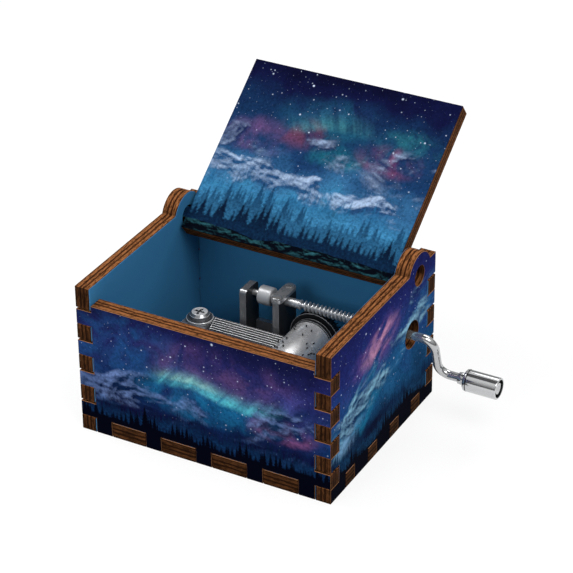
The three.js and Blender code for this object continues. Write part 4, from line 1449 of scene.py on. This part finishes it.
    @staticmethod
    def _left_sky(sheet: Sheet) -> NightSky:
        """Draws a tall violet aurora over pines.

        Args:
            sheet: where the print lies.

        Returns:
            The sky.
        """
        return NightSky(
            "left print",
            sheet,
            air=(
                (0.0, INK),
                (0.25, NAVY),
                (0.5, srgb("15386c")),
                (0.75, srgb("1e1f58")),
                (1.0, srgb("0f1238")),
            ),
            glows=(
                Glow((30, 24), (18, 10), VIOLET, 0.8),
                Glow((16, 18), (14, 8), TEAL, 0.7),
            ),
            auroras=(Aurora(8, 44, 17.0, 1.6, 15, 0.4, srgb("46a8bf"), srgb("6f4a84"), 0.8),),
            clouds=(Clouds(7, 17, 0.0, 0.13, 0.7, seed=4.0),),
            forests=(
                Forest(6.0, 6.0, 1.3, srgb("14345c"), 61.0, 2.5, 0.7, srgb("2c6890"), 0.8),
                Forest(3.4, 6.5, 1.8, PINES, 66.0, 2.5, 1.0, PINE_MIST, 0.5),
            ),
            seed=39.0,
        )

    def build(self, shop: Workshop) -> None:
        """Makes the walls and the base.

        Args:
            shop: hands out the solids.
        """
        blue = Paint("inside blue", self.blue).material()
        skies = self.skies()
        x, y = (self.width - self.ply) / 2, (self.depth - self.ply) / 2
        walls = {
            "front_wall": (FRONT, y),
            "back_wall": (BACK, y),
            "left_wall": (LEFT, x),
            "right_wall": (RIGHT, x),
        }
        for node, (out, middle) in walls.items():
            edge = PlyEdge(node.replace("_", " ") + " edge", out, middle, self.ply).material()
            self.panel(shop, node, out, (skies[node].material(), blue, edge))
        edge = PlyEdge("base edge", UP, self.ply / 2, self.ply).material()
        base = (BareFace("base underside").material(), blue, edge)
        self.panel(shop, "base_panel", DOWN, base, painted=False)

    def panel(
        self,
        shop: Workshop,
        node: str,
        out: Point,
        materials: Sequence[bpy.types.Material],
        painted: bool = True,
    ) -> bpy.types.Object:
        """Makes one panel with its own finish on each side and round its edge.

        Args:
            shop: hands out the solids.
            node: the panel's solid.
            out: the direction that the outer face looks in.
            materials: the finishes of the outer face, the inner face and the edge.
            painted: whether the inner face's paint runs over its eased edges.

        Returns:
            The panel's piece.
        """

        def side(_: Vector, normal: Vector) -> int:
            """Picks the finish of a face.

            Args:
                _: the face's centre.
                normal: its normal.

            Returns:
                The number of its side.
            """
            facing = normal.dot(Vector(out))
            if facing > self.faces_out:
                return Side.OUT.value
            return (Side.IN if facing < -self.faces_out else Side.EDGE).value

        def rim(centre: Vector, normal: Vector) -> int:
            """The finish of an eased edge, from its centre and its normal."""
            inner = normal.dot(Vector(out)) < -self.edge_faces_in or self._in_seam(node, centre)
            return (Side.IN if inner and painted else Side.EDGE).value

        return shop.eased(node, materials, self.ease, side, rim)

    def _in_seam(self, node: str, centre: Vector) -> bool:
        """Tells whether an eased edge of a wall lies in a corner of the painted inside.

        Args:
            node: the wall's solid.
            centre: the middle of the eased edge's face.

        Returns:
            True inside the four walls and below their common top.
        """
        reach = self.ply - 2 * self.ease
        inside = abs(centre.x) < self.width / 2 - reach and abs(centre.y) < self.depth / 2 - reach
        below = centre.z < self.front_height - self.seam_ends_below_top
        return node.endswith("_wall") and inside and below


@dataclass
class Lid:
    """The pivoting lid, printed on both faces.

    Its left edge lies at left, and its foot reaches past the hinge by its tail.
    """

    hinge: Point = (0.0, 17.2, 35.7)
    open_degrees: float = 143.0
    width: float = 54.2
    tail: float = 3.95
    reach: float = 42.0
    left: float = -27.5
    # How much darker its edge's non-upward faces are: partly scorch, partly painted shade.
    scorch_and_shade_ends: float = 0.5

    def build(self, shop: Workshop, case: Case) -> None:
        """Makes the lid.

        Args:
            shop: hands out the solids.
            case: makes panels, of the same plywood.
        """
        turn = math.radians(self.open_degrees)
        along = (0.0, -math.cos(turn), math.sin(turn))
        under = (0.0, -math.sin(turn), -math.cos(turn))
        out = tuple(-c for c in under)
        middle = Vector(self.hinge).dot(Vector(out))
        edge = PlyEdge("lid edge", out, middle, case.ply, scorch_and_shade_ends=self.scorch_and_shade_ends).material()
        foot = Vector(self.hinge) - Vector(along) * self.tail
        height = self.tail + self.reach
        free = foot + Vector(along) * height
        back = tuple(-c for c in along)
        inside = Sheet((self.left, foot.y, foot.z), RIGHT, along, self.width, height)
        outside = Sheet((self.left, free.y, free.z), RIGHT, back, self.width, height)
        top = self._outside_sky(outside).material()
        underside = self._inside_sky(inside).material()
        case.panel(shop, "lid_panel", out, (top, underside, edge))

    @staticmethod
    def _inside_sky(sheet: Sheet) -> NightSky:
        """Draws a wide starry sky with rose and teal clouds over a misty blue forest and dark rocks.

        Args:
            sheet: where the print lies.

        Returns:
            The sky.
        """
        return NightSky(
            "lid inside print",
            sheet,
            air=(
                (0.0, INK),
                (0.12, srgb("0a1c34")),
                (0.24, srgb("35769e")),
                (0.36, srgb("2f5f88")),
                (0.5, srgb("17355c")),
                (0.72, srgb("122a4c")),
                (0.88, srgb("0e1236")),
                (1.0, srgb("0a0b26")),
            ),
            glows=(
                Glow((28, 34), (20, 8), srgb("1a4f68"), 0.75),
                Glow((46, 33), (10, 5), srgb("2f7f86"), 0.6),
                Glow((43, 28), (11, 5), srgb("8a3f60"), 0.75),
                Glow((9, 27), (12, 6), srgb("6a4a78"), 0.75),
                Glow((20, 30), (10, 5), srgb("7a3a48"), 0.5),
                Glow((30, 26), (12, 4), srgb("1f7f84"), 0.55),
            ),
            auroras=(Aurora(12, 40, 31.0, 1.2, 11, -0.5, srgb("4f9fa6"), srgb("34508c"), 0.4),),
            clouds=(
                Clouds(15, 31, 0.04, 0.1, 0.9, srgb("16244a"), srgb("9db2d2"), 1.0),
                Clouds(13, 23, -0.04, 0.17, 0.75, srgb("1c3860"), srgb("a9bedb"), 6.0),
            ),
            forests=(
                Forest(11.5, 7.5, 2.6, srgb("225a84"), 81.0, 1.8, 0.7, srgb("4a94c0"), 0.8),
                Forest(8.2, 9.0, 3.5, srgb("123150"), 84.0, 2.2, 0.8, srgb("3a7ea8"), 0.55),
                Forest(4.6, 9.5, 4.3, srgb("060e22"), 88.0, 2.0, 0.95, srgb("163e66"), 0.35),
            ),
            ridges=(Ridge(2.4, 2.2, srgb("05080f"), srgb("2f646e"), 93.0),),
            seed=52.0,
        )

    @staticmethod
    def _outside_sky(sheet: Sheet) -> NightSky:
        """Draws a deep sky with a broad aurora over a far forest.

        Args:
            sheet: where the print lies.

        Returns:
            The sky.
        """
        return NightSky(
            "lid outside print",
            sheet,
            air=(
                (0.0, INK),
                (0.2, srgb("0e2348")),
                (0.4, srgb("1d4f7c")),
                (0.65, INDIGO),
                (1.0, NAVY),
            ),
            glows=(
                Glow((16, 30), (16, 9), VIOLET, 0.8),
                Glow((38, 32), (14, 7), PINK, 0.65),
                Glow((30, 22), (22, 7), TEAL, 0.7),
            ),
            auroras=(Aurora(6, 50, 22.0, 2.2, 17, 0.5, srgb("4fb4b4"), srgb("6f4a84"), 0.8),),
            clouds=(Clouds(11, 24, 0.03, 0.11, 0.75, seed=3.0),),
            forests=(
                Forest(9.0, 7.0, 1.5, srgb("14365c"), 91.0, 3.0, 0.75, srgb("2f6f98"), 0.8),
                Forest(4.4, 7.0, 2.1, PINES, 96.0, 3.0, 1.0, PINE_MIST, 0.5),
            ),
            seed=71.0,
        )


@dataclass
class Movement:
    """The comb and the die-cast frame, with its cap, rivets and screws.

    A face looks along an axis where its normal's share on that axis is above faces_axis. The
    frame's faces that look forward or up take a lighter copy of its metal as painted light, and its
    sides a dark copy as painted shade. Eased edges whose normal looks up or forward past the last two
    limits take a painted highlight.
    """

    cast: Metal = Metal(
        "cast frame shaded sides", srgb("2b2c2e"), 0.38, mark_depth=0.01, unevenness=0.12, mottle=0.25, mirror=0.5
    )
    lit_face_metal: Metal = Metal(
        "frame faces painted lit", srgb("929395"), 0.25, (0.5, 1, 4), unevenness=0.06, mottle=0.3, mirror=0.72
    )
    painted_highlight: Metal = Metal(
        "cast edges painted highlight", srgb("a6a7a9"), 0.3, (2, 2, 2), unevenness=0.1, mottle=0.2, mirror=0.6
    )
    cap: Metal = Metal("bearing cap", srgb("8c8d8f"), 0.28, (0.4, 4, 1), mottle=0.2, mirror=0.55)
    comb: Metal = Metal(
        "comb steel", srgb("808184"), 0.34, (0.25, 6, 6), 0.002, 0.06, mirror=0.45, darker_from=-16.5
    )
    # Near-white for the comb's eased edges, as a painted highlight.
    ground: Metal = Metal(
        "comb edges painted highlight", srgb("f4f4f5"), 0.3, (0.25, 6, 6), 0.002, 0.06, mirror=0.3
    )
    # Near-black for the walls between the comb's teeth, as painted shade.
    slots: Metal = Metal("comb slots painted shade", srgb("0d0e0f"), 0.5, (0.5, 6, 6), 0.002, 0.06, mirror=0.3)
    steel: Metal = Metal(
        "bright steel", srgb("bcbdbe"), 0.2, (2, 2, 2), unevenness=0.1, mottle=0.4, mirror=0.75
    )
    # Near-white plate: partly the real plating, partly a painted highlight on screw tops and washer
    # rims.
    plate_and_highlight: Metal = Metal(
        "nickel plate and painted highlight", srgb("f0f0f1"), 0.16, mark_depth=0.003, unevenness=0.06, mottle=0.1, mirror=0.4
    )
    # Near-black for a screw's recess, as painted shade.
    recess_shade: Metal = Metal(
        "screw recess painted shade", srgb("141516"), 0.4, mark_depth=0.003, unevenness=0.06, mirror=0.4
    )
    shaded: Metal = Metal(
        "screw sides", srgb("8c8d8f"), 0.25, mark_depth=0.003, unevenness=0.06, mirror=0.7
    )
    washer: Metal = Metal(
        "washer face", srgb("7a7b7d"), 0.25, mark_depth=0.003, unevenness=0.06, mottle=0.1, mirror=0.7
    )
    frame_ease: float = 0.14
    cap_ease: float = 0.12
    comb_ease: float = 0.08
    rivet_ease: float = 0.04
    washer_ease: float = 0.12
    screw_ease: float = 0.05
    screw_smooth_below: float = 25.0
    head_edge: float = 0.1
    recess_radius: float = 1.5
    faces_axis: float = 0.5
    faces_up: float = 0.9
    highlight_up: float = 0.3
    highlight_front: float = 0.6

    def build(self, shop: Workshop) -> None:
        """Makes the pieces that stand still.

        Args:
            shop: hands out the solids.
        """
        steel = self.steel.material()
        plate_and_highlight = self.plate_and_highlight.material()
        lit_face_metal = self.lit_face_metal.material()
        cast = (self.cast.material(), lit_face_metal, self.painted_highlight.material())
        # The frame: forward and upward faces lighter as painted light, sides dark as painted shade, and
        # upward and forward eased edges a painted highlight.
        shop.eased("movement_frame", cast, self.frame_ease, self._lit_face, self._highlit_edge)
        # The cap's upward and forward eased edges take bright steel as a painted highlight.
        cap = (self.cap.material(), lit_face_metal, steel)
        shop.eased("bearing_cap", cap, self.cap_ease, None, self._highlit_edge)
        # The comb: the walls between its teeth near-black as painted shade, its eased edges near-white
        # as a painted highlight.
        comb = (self.comb.material(), self.slots.material(), self.ground.material())
        shop.eased("comb", comb, self.comb_ease, self._upright, self._third)
        # A washer's eased edges take the bright plate as a painted highlight.
        washer = (self.washer.material(), steel, plate_and_highlight)
        screw = (plate_and_highlight, self.recess_shade.material(), self.shaded.material())
        for end in ("front", "rear"):
            shop.eased("cap_rivet_" + end, (steel,), self.rivet_ease)
            node = "comb_washer_" + end
            shop.eased(node, washer, self.washer_ease, self._not_up, self._third)
            # A screw's head: its top bright as plating and painted highlight, its recess near-black as
            # painted shade, its sides a darker shaded copy.
            node = "comb_screw_" + end
            pick = self._head([vertex.co / MM for vertex in shop.nodes[node].data.vertices])
            shop.eased(node, screw, self.screw_ease, pick, smooth_below=self.screw_smooth_below)
        for number in (1, 2, 3):
            shop.eased(f"mount_screw_{number}", (steel,), self.screw_ease)

    def _upright(self, _: Vector, normal: Vector) -> int:
        """1 for the walls between the comb's teeth, which take near-black as painted shade, else 0."""
        return int(abs(normal.z) < self.faces_axis)

    def _not_up(self, _: Vector, normal: Vector) -> int:
        """0 for a washer's upper face, else 1."""
        return int(normal.z < self.faces_axis)

    def _lit_face(self, _: Vector, normal: Vector) -> int:
        """1 for the faces that look forward or up, which take the lighter copy as painted light, else
        0.
        """
        return int(normal.y < -self.faces_axis or normal.z > self.faces_axis)

    def _highlit_edge(self, _: Vector, normal: Vector) -> int:
        """2 for the eased edges that look up or forward, which take a painted highlight, else 0."""
        return 2 if normal.z > self.highlight_up or normal.y < -self.highlight_front else 0

    @staticmethod
    def _third(*_: Vector) -> int:
        """The third finish, for any face."""
        return 2

    def _head(self, points: Sequence[Vector]) -> Picker:
        """Makes a picker for a screw's finishes.

        Args:
            points: the screw's corners.

        Returns:
            Picks 0 for the head's top, partly plating and partly painted highlight, 1 for its recess,
            painted shade, and 2 for its sides, a darker shaded copy.
        """
        middle = sum(points, Vector()) / len(points)
        top = max(point.z for point in points)

        def pick(centre: Vector, normal: Vector) -> int:
            """Picks the finish of a face.

            Args:
                centre: the face's centre.
                normal: its normal.

            Returns:
                The finish's number.
            """
            if normal.z > self.faces_up and centre.z > top - self.head_edge:
                return 0
            return 1 if (centre - middle).xy.length < self.recess_radius else 2

        return pick


@dataclass
class Drum:
    """The pinned drum with its end cap, arbor and worm wheel.

    A track is the room of one of the comb's teeth. The pins stand in an even spread, which sways
    back and forth by a share of the room between two notes.
    """

    axis_x: float = 8.25
    axis_z: float = 15.476
    radius: float = 5.06
    wall: float = 0.6
    front: float = -10.2
    rear: float = 9.9
    teeth: int = 18
    first_track: float = 8.24
    track: float = 0.895
    pins_per_track: int = 5
    pin_height: float = 0.5
    pin_radius: float = 0.17
    pin_sunk: float = 0.2
    pin_soft: float = 0.06
    pin_end_share: float = 0.7
    pin_sides: int = 10
    sway_share: float = 0.55
    soft: float = 0.08
    sides: int = 120
    cap_ease: float = 0.06
    arbor_ease: float = 0.05
    gear_ease: float = 0.03
    nickel: Metal = Metal(
        "drum nickel", srgb("dededf"), 0.26, (0.6, 8, 0.6), unevenness=0.1, mottle=0.35, mirror=0.7
    )
    # The pins are near-black, as painted shade for their shadows on the drum.
    pin_shade: Metal = Metal("pins painted shade", srgb("1c1d1f"), 0.3, (3, 3, 3), 0.002, mirror=0.6)
    arbor_steel: Metal = Metal("arbor steel", srgb("b5b6b9"), 0.25)

    def build(self, shop: Workshop) -> None:
        """Makes the drum's pieces.

        Args:
            shop: hands out the solids.
        """
        nickel = self.nickel.material()
        maker = MeshMaker()
        inner = self.radius - self.wall
        rounded = self.radius - self.soft
        maker.turned(
            (
                (inner, self.front),
                (rounded, self.front),
                (self.radius, self.front + self.soft),
                (self.radius, self.rear - self.soft),
                (rounded, self.rear),
                (inner, self.rear),
            ),
            axis((self.axis_x, 0, self.axis_z), BACK),
            self.sides,
        )
        maker.tint = 1
        for y, angle in self.pins():
            self._pin(maker, y, angle)
        drum = maker.piece("music_drum_piece", (nickel, self.pin_shade.material()))
        shop.stand_in(drum, "music_drum")
        shop.eased("drum_end_cap", (nickel,), self.cap_ease)
        shop.eased("drum_arbor", (self.arbor_steel.material(),), self.arbor_ease)
        nylon = Nylon(self.axis_x, self.axis_z).material()
        shop.eased("drum_gear", (nylon,), self.gear_ease)

    def pins(self) -> Iterable[tuple[float, float]]:
        """Lists where the tune's pins stand, each track a golden angle on from the last.

        Returns:
            Pairs of place along the drum and angle round it.
        """
        note_turn = 2 * math.pi / self.pins_per_track
        golden = (3 - math.sqrt(5)) * math.pi
        for number in range(self.teeth):
            y = self.first_track - 0.5 * self.track - number * self.track
            for note in range(self.pins_per_track):
                sway = self.sway_share * math.sin(number * number + 2 * note)
                yield y, number * golden + (note + sway) * note_turn

    def _pin(self, maker: MeshMaker, y: float, angle: float) -> None:
        """Adds one pin, round with a softened end.

        Args:
            maker: collects the drum's mesh.
            y: place along the drum.
            angle: turn round the drum from the top.
        """
        out = (math.sin(angle), 0.0, math.cos(angle))
        root, tip, r = self.radius - self.pin_sunk, self.radius + self.pin_height, self.pin_radius
        end = (r * self.pin_end_share, tip)
        profile = ((0, root), (r, root), (r, tip - self.pin_soft), end, (0, tip))
        maker.turned(profile, axis((self.axis_x, y, self.axis_z), out), self.pin_sides)


@dataclass
class Crank:
    """The worm shaft with its collar, and the bent crank with its knob.

    Places along the shaft are measured from axis_x. The thread's half section is pairs of depth
    below the crest and half width. The knob's nose and groove are pairs of depth below its surface
    and distance from its left end, and its rim the same from its right end. The swage and the peen
    are pairs of place and radius.
    """

    axis_x: float = 8.25
    axis_y: float = 13.1
    axis_z: float = 22.35
    radius: float = 1.05
    tail: float = -19.15
    journal_radius: float = 0.75
    journal_end: float = -14.9
    shoulder_radius: float = 1.25
    shoulder_length: float = 0.3
    soft: float = 0.12
    shaft_sides: int = 48
    pitch: float = 1.0
    worm_start: float = -4.1
    turns: int = 13
    root_radius: float = 0.62
    crest_radius: float = 1.3
    thread_sunk: float = 0.12
    foot_half: float = 0.27
    thread_half: Profile = ((0.1, 0.14), (0.0, 0.07))
    steps_per_turn: int = 36
    fade_per_turn: float = 3.0
    least_ridge: float = 0.02
    socket: tuple[float, float] = (11.25, 17.25)
    socket_radius: float = 1.75
    socket_depth: float = 5.0
    socket_gap: float = 0.1
    collar_ease: float = 0.06
    throw: float = 10.3
    back_degrees: float = 16.9
    arm_x: float = 29.55
    rod_sunk: float = 3.8
    rod_straight: float = 4.0
    bend: float = 3.0
    bend_steps: int = 14
    rod_sides: int = 28
    swage: Profile = ((-1.7, 1.0), (-1.5, 1.38), (-0.9, 1.45), (-0.15, 1.45), (0, 1.3), (0, 1.0))
    peen: Profile = (
        (-0.5, 1.0),
        (0, 1.0),
        (0, 1.4),
        (0.9, 1.5),
        (1.15, 1.35),
        (1.2, 0.85),
        (1.02, 0.6),
        (1.0, 0.02),
    )
    end_gap: float = 0.1
    knob_x: float = 36.35
    knob_length: float = 8.3
    knob_radius: float = 2.6
    knob_bore: float = 1.15
    knob_nose: Profile = ((0.3, 0.0), (0.06, 0.2), (0.0, 0.4))
    knob_groove: Profile = ((0.0, 0.72), (0.16, 0.78), (0.16, 0.9), (0.0, 0.96))
    knob_rim: Profile = ((0.0, 0.22), (0.08, 0.06), (0.2, 0.0))
    hollow_mouth: float = 2.15
    hollow_radius: float = 2.05
    hollow_soft: float = 0.1
    hollow_depth: float = 1.5
    knob_sides: int = 96
    knob_chrome: Metal = Metal("knob chrome", srgb("c2c3c4"), 0.05, (1, 1, 1), 0.001, 0.02, mirror=0.9)
    rod_chrome: Metal = Metal("rod chrome", srgb("b8b9ba"), 0.06, (1, 1, 1), 0.001, 0.02, mirror=0.84)
    steel: Metal = Metal("worm steel", srgb("c4c5c7"), 0.28, (4, 1, 1), 0.001, 0.04, mirror=0.75)
    collar: Metal = Metal("collar nickel", srgb("a9aaac"), 0.36, (6, 1, 1), mirror=0.35)
    # Near-black for the knob's groove and hollow, as painted shade.
    hollow_shade: Metal = Metal(
        "knob hollows painted shade", srgb("2a2b2d"), 0.3, (2, 2, 2), 0.003, 0.1, mottle=0.2, mirror=0.7
    )

    def build(self, shop: Workshop) -> None:
        """Makes the turning pieces.

        Args:
            shop: hands out the solids.
        """
        shop.stand_in(self._shaft(), "worm_shaft")
        shop.eased("shaft_collar", (self.collar.material(),), self.collar_ease)
        shop.stand_in(self._arm(), "crank_arm")
        shop.stand_in(self._knob(), "crank_knob")

    def _shaft(self) -> bpy.types.Object:
        """Makes the shaft with its thread and socket.

        Returns:
            The piece.
        """
        maker = MeshMaker()
        worm_end = self.worm_start + self.turns * self.pitch
        shoulder = self.worm_start - self.shoulder_length
        left, right = self.socket
        bore, soft = self.radius + self.socket_gap, self.soft
        maker.turned(
            (
                (0, self.tail),
                (self.journal_radius - soft, self.tail),
                (self.journal_radius, self.tail + soft),
                (self.journal_radius, self.journal_end),
                (self.radius, self.journal_end),
                (self.radius, shoulder),
                (self.shoulder_radius - soft, shoulder),
                (self.shoulder_radius, self.worm_start - self.shoulder_length / 2),
                (self.shoulder_radius - soft, self.worm_start),
                (self.root_radius, self.worm_start),
                (self.root_radius, worm_end - soft),
                (self.radius, worm_end),
                (self.radius, left),
                (self.socket_radius - soft, left),
                (self.socket_radius, left + soft),
                (self.socket_radius, right - soft),
                (self.socket_radius - soft, right),
                (bore, right),
                (bore, right - self.socket_depth),
                (0, right - self.socket_depth),
            ),
            axis((self.axis_x, self.axis_y, self.axis_z), RIGHT),
            self.shaft_sides,
        )
        self._thread(maker)
        return maker.piece("worm_shaft_piece", (self.steel.material(),))

    def _thread(self, maker: MeshMaker) -> None:
        """Winds the worm's ridge round the shaft. It fades at both ends.

        Args:
            maker: collects the shaft's mesh.
        """
        crest, foot = self.crest_radius, self.root_radius - self.thread_sunk
        flank = tuple((crest - depth, -side) for depth, side in self.thread_half)
        half = ((foot, -self.foot_half), *flank)
        section = half + tuple((radius, -side) for radius, side in reversed(half))
        first = (round(self.worm_start / self.pitch) + 0.5) * self.pitch
        rings = []
        for i in range(self.turns * self.steps_per_turn + 1):
            turn = i / self.steps_per_turn
            angle = 2 * math.pi * turn - math.pi / 2
            fade = min(1.0, self.fade_per_turn * turn, self.fade_per_turn * (self.turns - turn))
            ring = []
            for radius, side in section:
                r = foot + (radius - foot) * max(fade, self.least_ridge)
                x = self.axis_x + first + turn * self.pitch + side
                y, z = self.axis_y + r * math.cos(angle), self.axis_z + r * math.sin(angle)
                ring.append((x, y, z))
            rings.append(ring)
        maker.rings(rings)

    def _bent(self, x: float, out: float, across: float, turn: float, lean: float) -> Point:
        """Finds a point of the rod's surface.

        Args:
            x: place of the rod's middle along the shaft.
            out: place of the rod's middle out along the throw.
            across: the rod's radius there.
            turn: angle round the rod.
            lean: the rod's direction, from along the shaft to along the throw.

        Returns:
            The point in the part's frame.
        """
        side = across * math.cos(turn)
        height = side * math.cos(lean) - out
        local = Vector((x + side * math.sin(lean), across * math.sin(turn), height))
        swing = Matrix.Rotation(math.radians(self.back_degrees), 4, "X")
        return tuple(Vector((self.axis_x, self.axis_y, self.axis_z)) + (swing @ local))

    def _route(self, end: float) -> list[tuple[float, float, float]]:
        """Lays the rod's middle line: out of the socket, round two bends and through the knob.

        Args:
            end: where the rod ends along the shaft.

        Returns:
            Place along the shaft, place out along the throw, and lean, at each ring.
        """
        start = self.socket[1] - self.rod_sunk
        line = [(start, 0.0, 0.0), (start + self.rod_straight, 0.0, 0.0)]
        leans = [i / self.bend_steps * math.pi / 2 for i in range(self.bend_steps + 1)]
        for a in leans:
            x = self.arm_x - self.bend * (1 - math.sin(a))
            line.append((x, self.bend * (1 - math.cos(a)), a))
        for a in reversed(leans):
            x = self.arm_x + self.bend * (1 - math.sin(a))
            line.append((x, self.throw - self.bend * (1 - math.cos(a)), a))
        return line + [(end, self.throw, 0.0)]

    def _arm(self) -> bpy.types.Object:
        """Makes the bent rod with its stop before the knob and its peened end in it.

        Returns:
            The piece.
        """
        stop = self.knob_x - self.end_gap
        end = self.knob_x + self.knob_length - self.hollow_depth + self.end_gap
        turns = [2 * math.pi * j / self.rod_sides for j in range(self.rod_sides)]
        maker = MeshMaker()
        rod = [[self._bent(x, out, self.radius, t, a) for t in turns] for x, out, a in self._route(end)]
        maker.rings(rod)
        for origin, profile in ((stop, self.swage), (end, self.peen)):
            bulge = [
                [self._bent(origin + x, self.throw, r, t, 0.0) for t in turns] for x, r in profile
            ]
            maker.rings(bulge)
        return maker.piece("crank_arm_piece", (self.rod_chrome.material(),))

    def _knob(self) -> bpy.types.Object:
        """Makes the knob, with a groove near its nose and a hollow at its outer end, both near-black as
        painted shade.

        Returns:
            The piece.
        """
        left, right, r = self.knob_x, self.knob_x + self.knob_length, self.knob_radius
        swing = math.radians(self.back_degrees)
        y = self.axis_y + self.throw * math.sin(swing)
        z = self.axis_z - self.throw * math.cos(swing)
        profile = [(self.knob_bore, left)]
        profile += [(r - depth, left + at) for depth, at in self.knob_nose + self.knob_groove]
        profile += [(r - depth, right - at) for depth, at in self.knob_rim]
        profile += [
            (self.hollow_mouth, right),
            (self.hollow_radius, right - self.hollow_soft),
            (self.hollow_radius, right - self.hollow_depth),
            (self.knob_bore, right - self.hollow_depth),
        ]
        groove = 1 + len(self.knob_nose)
        groove_end = groove + len(self.knob_groove) - 1
        hollow = groove_end + 1 + len(self.knob_rim)
        # The groove and the hollow take the near-black finish as painted shade.
        painted_shade_stretches = (*range(groove, groove_end), *range(hollow, len(profile) - 1))
        maker = MeshMaker()
        maker.turned(profile, axis((self.axis_x, y, z), RIGHT), self.knob_sides, painted_shade_stretches)
        finishes = (self.knob_chrome.material(), self.hollow_shade.material())
        return maker.piece("crank_knob_piece", finishes)


# Studio


@dataclass(frozen=True)
class Lamp:
    """A soft round lamp that looks at the box, with its power in watts.

    Reflections show it only where it is mirrored.
    """

    name: str
    place: Point
    size: float
    power: float
    mirrored: bool = True


@dataclass
class Studio:
    """The camera, the lamps, the world and the floor.

    The ceiling is what reflections show of the room: pairs of the sine of the height above the
    horizon and a grey. The floor turns from nearly white to white between white_from and white_to.
    """

    target: Point = (7.15, 0.5, 34.762)
    azimuth: float = 28.817
    elevation: float = 30.741
    roll: float = -0.492
    distance: float = 542.754
    focal_pixels: float = 2434.862
    frame_pixels: float = 573.0
    sensor: float = 36.0
    nearest: float = 10.0
    farthest: float = 20000.0
    lamps: tuple[Lamp, ...] = (
        Lamp("key lamp", (260, -150, 420), 260, 1.15),
        Lamp("front lamp", (-120, -420, 200), 300, 0.75, mirrored=False),
        Lamp("left lamp", (-260, -20, 420), 200, 0.9),
        Lamp("back lamp", (20, 380, 420), 340, 0.9),
    )
    air: float = 0.5
    ceiling: tuple[tuple[float, float], ...] = (
        (0.0, 1.0),
        (0.05, 0.8),
        (0.1, 0.02),
        (0.22, 0.1),
        (0.4, 0.35),
        (0.6, 0.65),
        (0.8, 0.95),
        (0.895, 0.9),
        (0.904, 0.03),
        (1.0, 0.02),
    )
    cloth: Colour = (0.95, 0.95, 0.95)
    white: Colour = (1.0, 1.0, 1.0)
    white_share: float = 0.8
    white_from: float = 130.0
    white_to: float = 500.0
    floor_half: float = 2500.0
    floor_drop: float = 0.02

    def build(self) -> None:
        """Sets the whole studio up."""
        self._camera()
        for lamp in self.lamps:
            self._lamp(lamp)
        self._world()
        self._floor()
        bpy.context.scene.view_settings.view_transform = "Standard"

    def _camera(self) -> None:
        """Puts the camera where the photograph was taken from."""
        a, e = math.radians(self.azimuth), math.radians(self.elevation)
        back = Vector((math.sin(a) * math.cos(e), -math.cos(a) * math.cos(e), math.sin(e)))
        data = bpy.data.cameras.new("camera")
        data.sensor_width = self.sensor
        data.lens = self.focal_pixels / self.frame_pixels * self.sensor
        data.clip_start, data.clip_end = self.nearest * MM, self.farthest * MM
        camera = bpy.data.objects.new("camera", data)
        camera.location = (Vector(self.target) + back * self.distance) * MM
        roll = Matrix.Rotation(math.radians(self.roll), 3, "Z")
        camera.rotation_euler = ((-back).to_track_quat("-Z", "Y").to_matrix() @ roll).to_euler()
        bpy.context.scene.collection.objects.link(camera)
        bpy.context.scene.camera = camera

    def _lamp(self, lamp: Lamp) -> None:
        """Hangs one lamp.

        Args:
            lamp: the lamp.
        """
        data = bpy.data.lights.new(lamp.name, "AREA")
        data.shape = "DISK"
        data.size = lamp.size * MM
        data.energy = lamp.power
        thing = bpy.data.objects.new(lamp.name, data)
        thing.location = Vector(lamp.place) * MM
        thing.visible_glossy = lamp.mirrored
        aim = Vector(self.target) - Vector(lamp.place)
        thing.rotation_euler = aim.to_track_quat("-Z", "Y").to_euler()
        bpy.context.scene.collection.objects.link(thing)

    def _world(self) -> None:
        """Lights the room evenly, shows the camera white and shows reflections the ceiling."""
        world = bpy.data.worlds.new("room")
        bpy.context.scene.world = world
        g = Graph("room", world)
        camera, glossy, through = self._looks(g)
        seen = (camera + glossy + through).held()
        height = Arrow(g, g.node("ShaderNodeTexCoord").outputs["Generated"]).dot(UP)
        greys = [(place, (grey, grey, grey)) for place, grey in self.ceiling]
        colour = g.mix(glossy, self.white, g.ramp(height.held(), greys))
        strength = seen * (1 - self.air) + self.air
        back = g.node("ShaderNodeBackground", None, {"Color": colour, "Strength": strength})
        g.node("ShaderNodeOutputWorld", None, {"Surface": back.outputs[0]})

    @staticmethod
    def _looks(g: Graph) -> tuple[Sock, Sock, Sock]:
        """Tells the rays that look at something from those that only carry light.

        Args:
            g: the graph.

        Returns:
            1 for a ray from the camera, from a reflection and through glass.
        """
        path = g.node("ShaderNodeLightPath").outputs
        looks = ("Is Camera Ray", "Is Glossy Ray", "Is Transmission Ray")
        return tuple(Sock(g, path[look]) for look in looks)

    def _floor(self) -> None:
        """Lays a white floor that keeps the box's shadow."""
        g = Graph("floor")
        camera, glossy, through = self._looks(g)
        seen = camera + glossy + through
        cloth = g.node("ShaderNodeBsdfDiffuse", None, {"Color": self.cloth}).outputs[0]
        white = g.node("ShaderNodeEmission", None, {"Color": self.white}).outputs[0]
        place = g.place() * (1, 1, 0)
        far = (place.dot(place) ** 0.5).rise(self.white_from, self.white_to)
        share = seen.held() * (far * (1 - self.white_share) + self.white_share)
        surface = g.node("ShaderNodeMixShader", None, {0: share, 1: cloth, 2: white})
        g.node("ShaderNodeOutputMaterial", None, {"Surface": surface.outputs[0]})
        maker = MeshMaker()
        half = self.floor_half
        maker.points = [(-half, -half, 0), (half, -half, 0), (half, half, 0), (-half, half, 0)]
        maker.faces = [(0, 1, 2, 3)]
        floor = maker.piece("floor", (g.material,))
        floor.location.z = -self.floor_drop * MM


def main() -> None:
    """Builds the music box's pieces and the studio round it."""
    logging.basicConfig(level=logging.INFO, format="%(name)s: %(message)s")
    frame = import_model()
    Studio().build()
    shop = Workshop(frame)
    case = Case()
    case.build(shop)
    Lid().build(shop, case)
    Movement().build(shop)
    Drum().build(shop)
    Crank().build(shop)


if __name__ == "__main__":
    main()
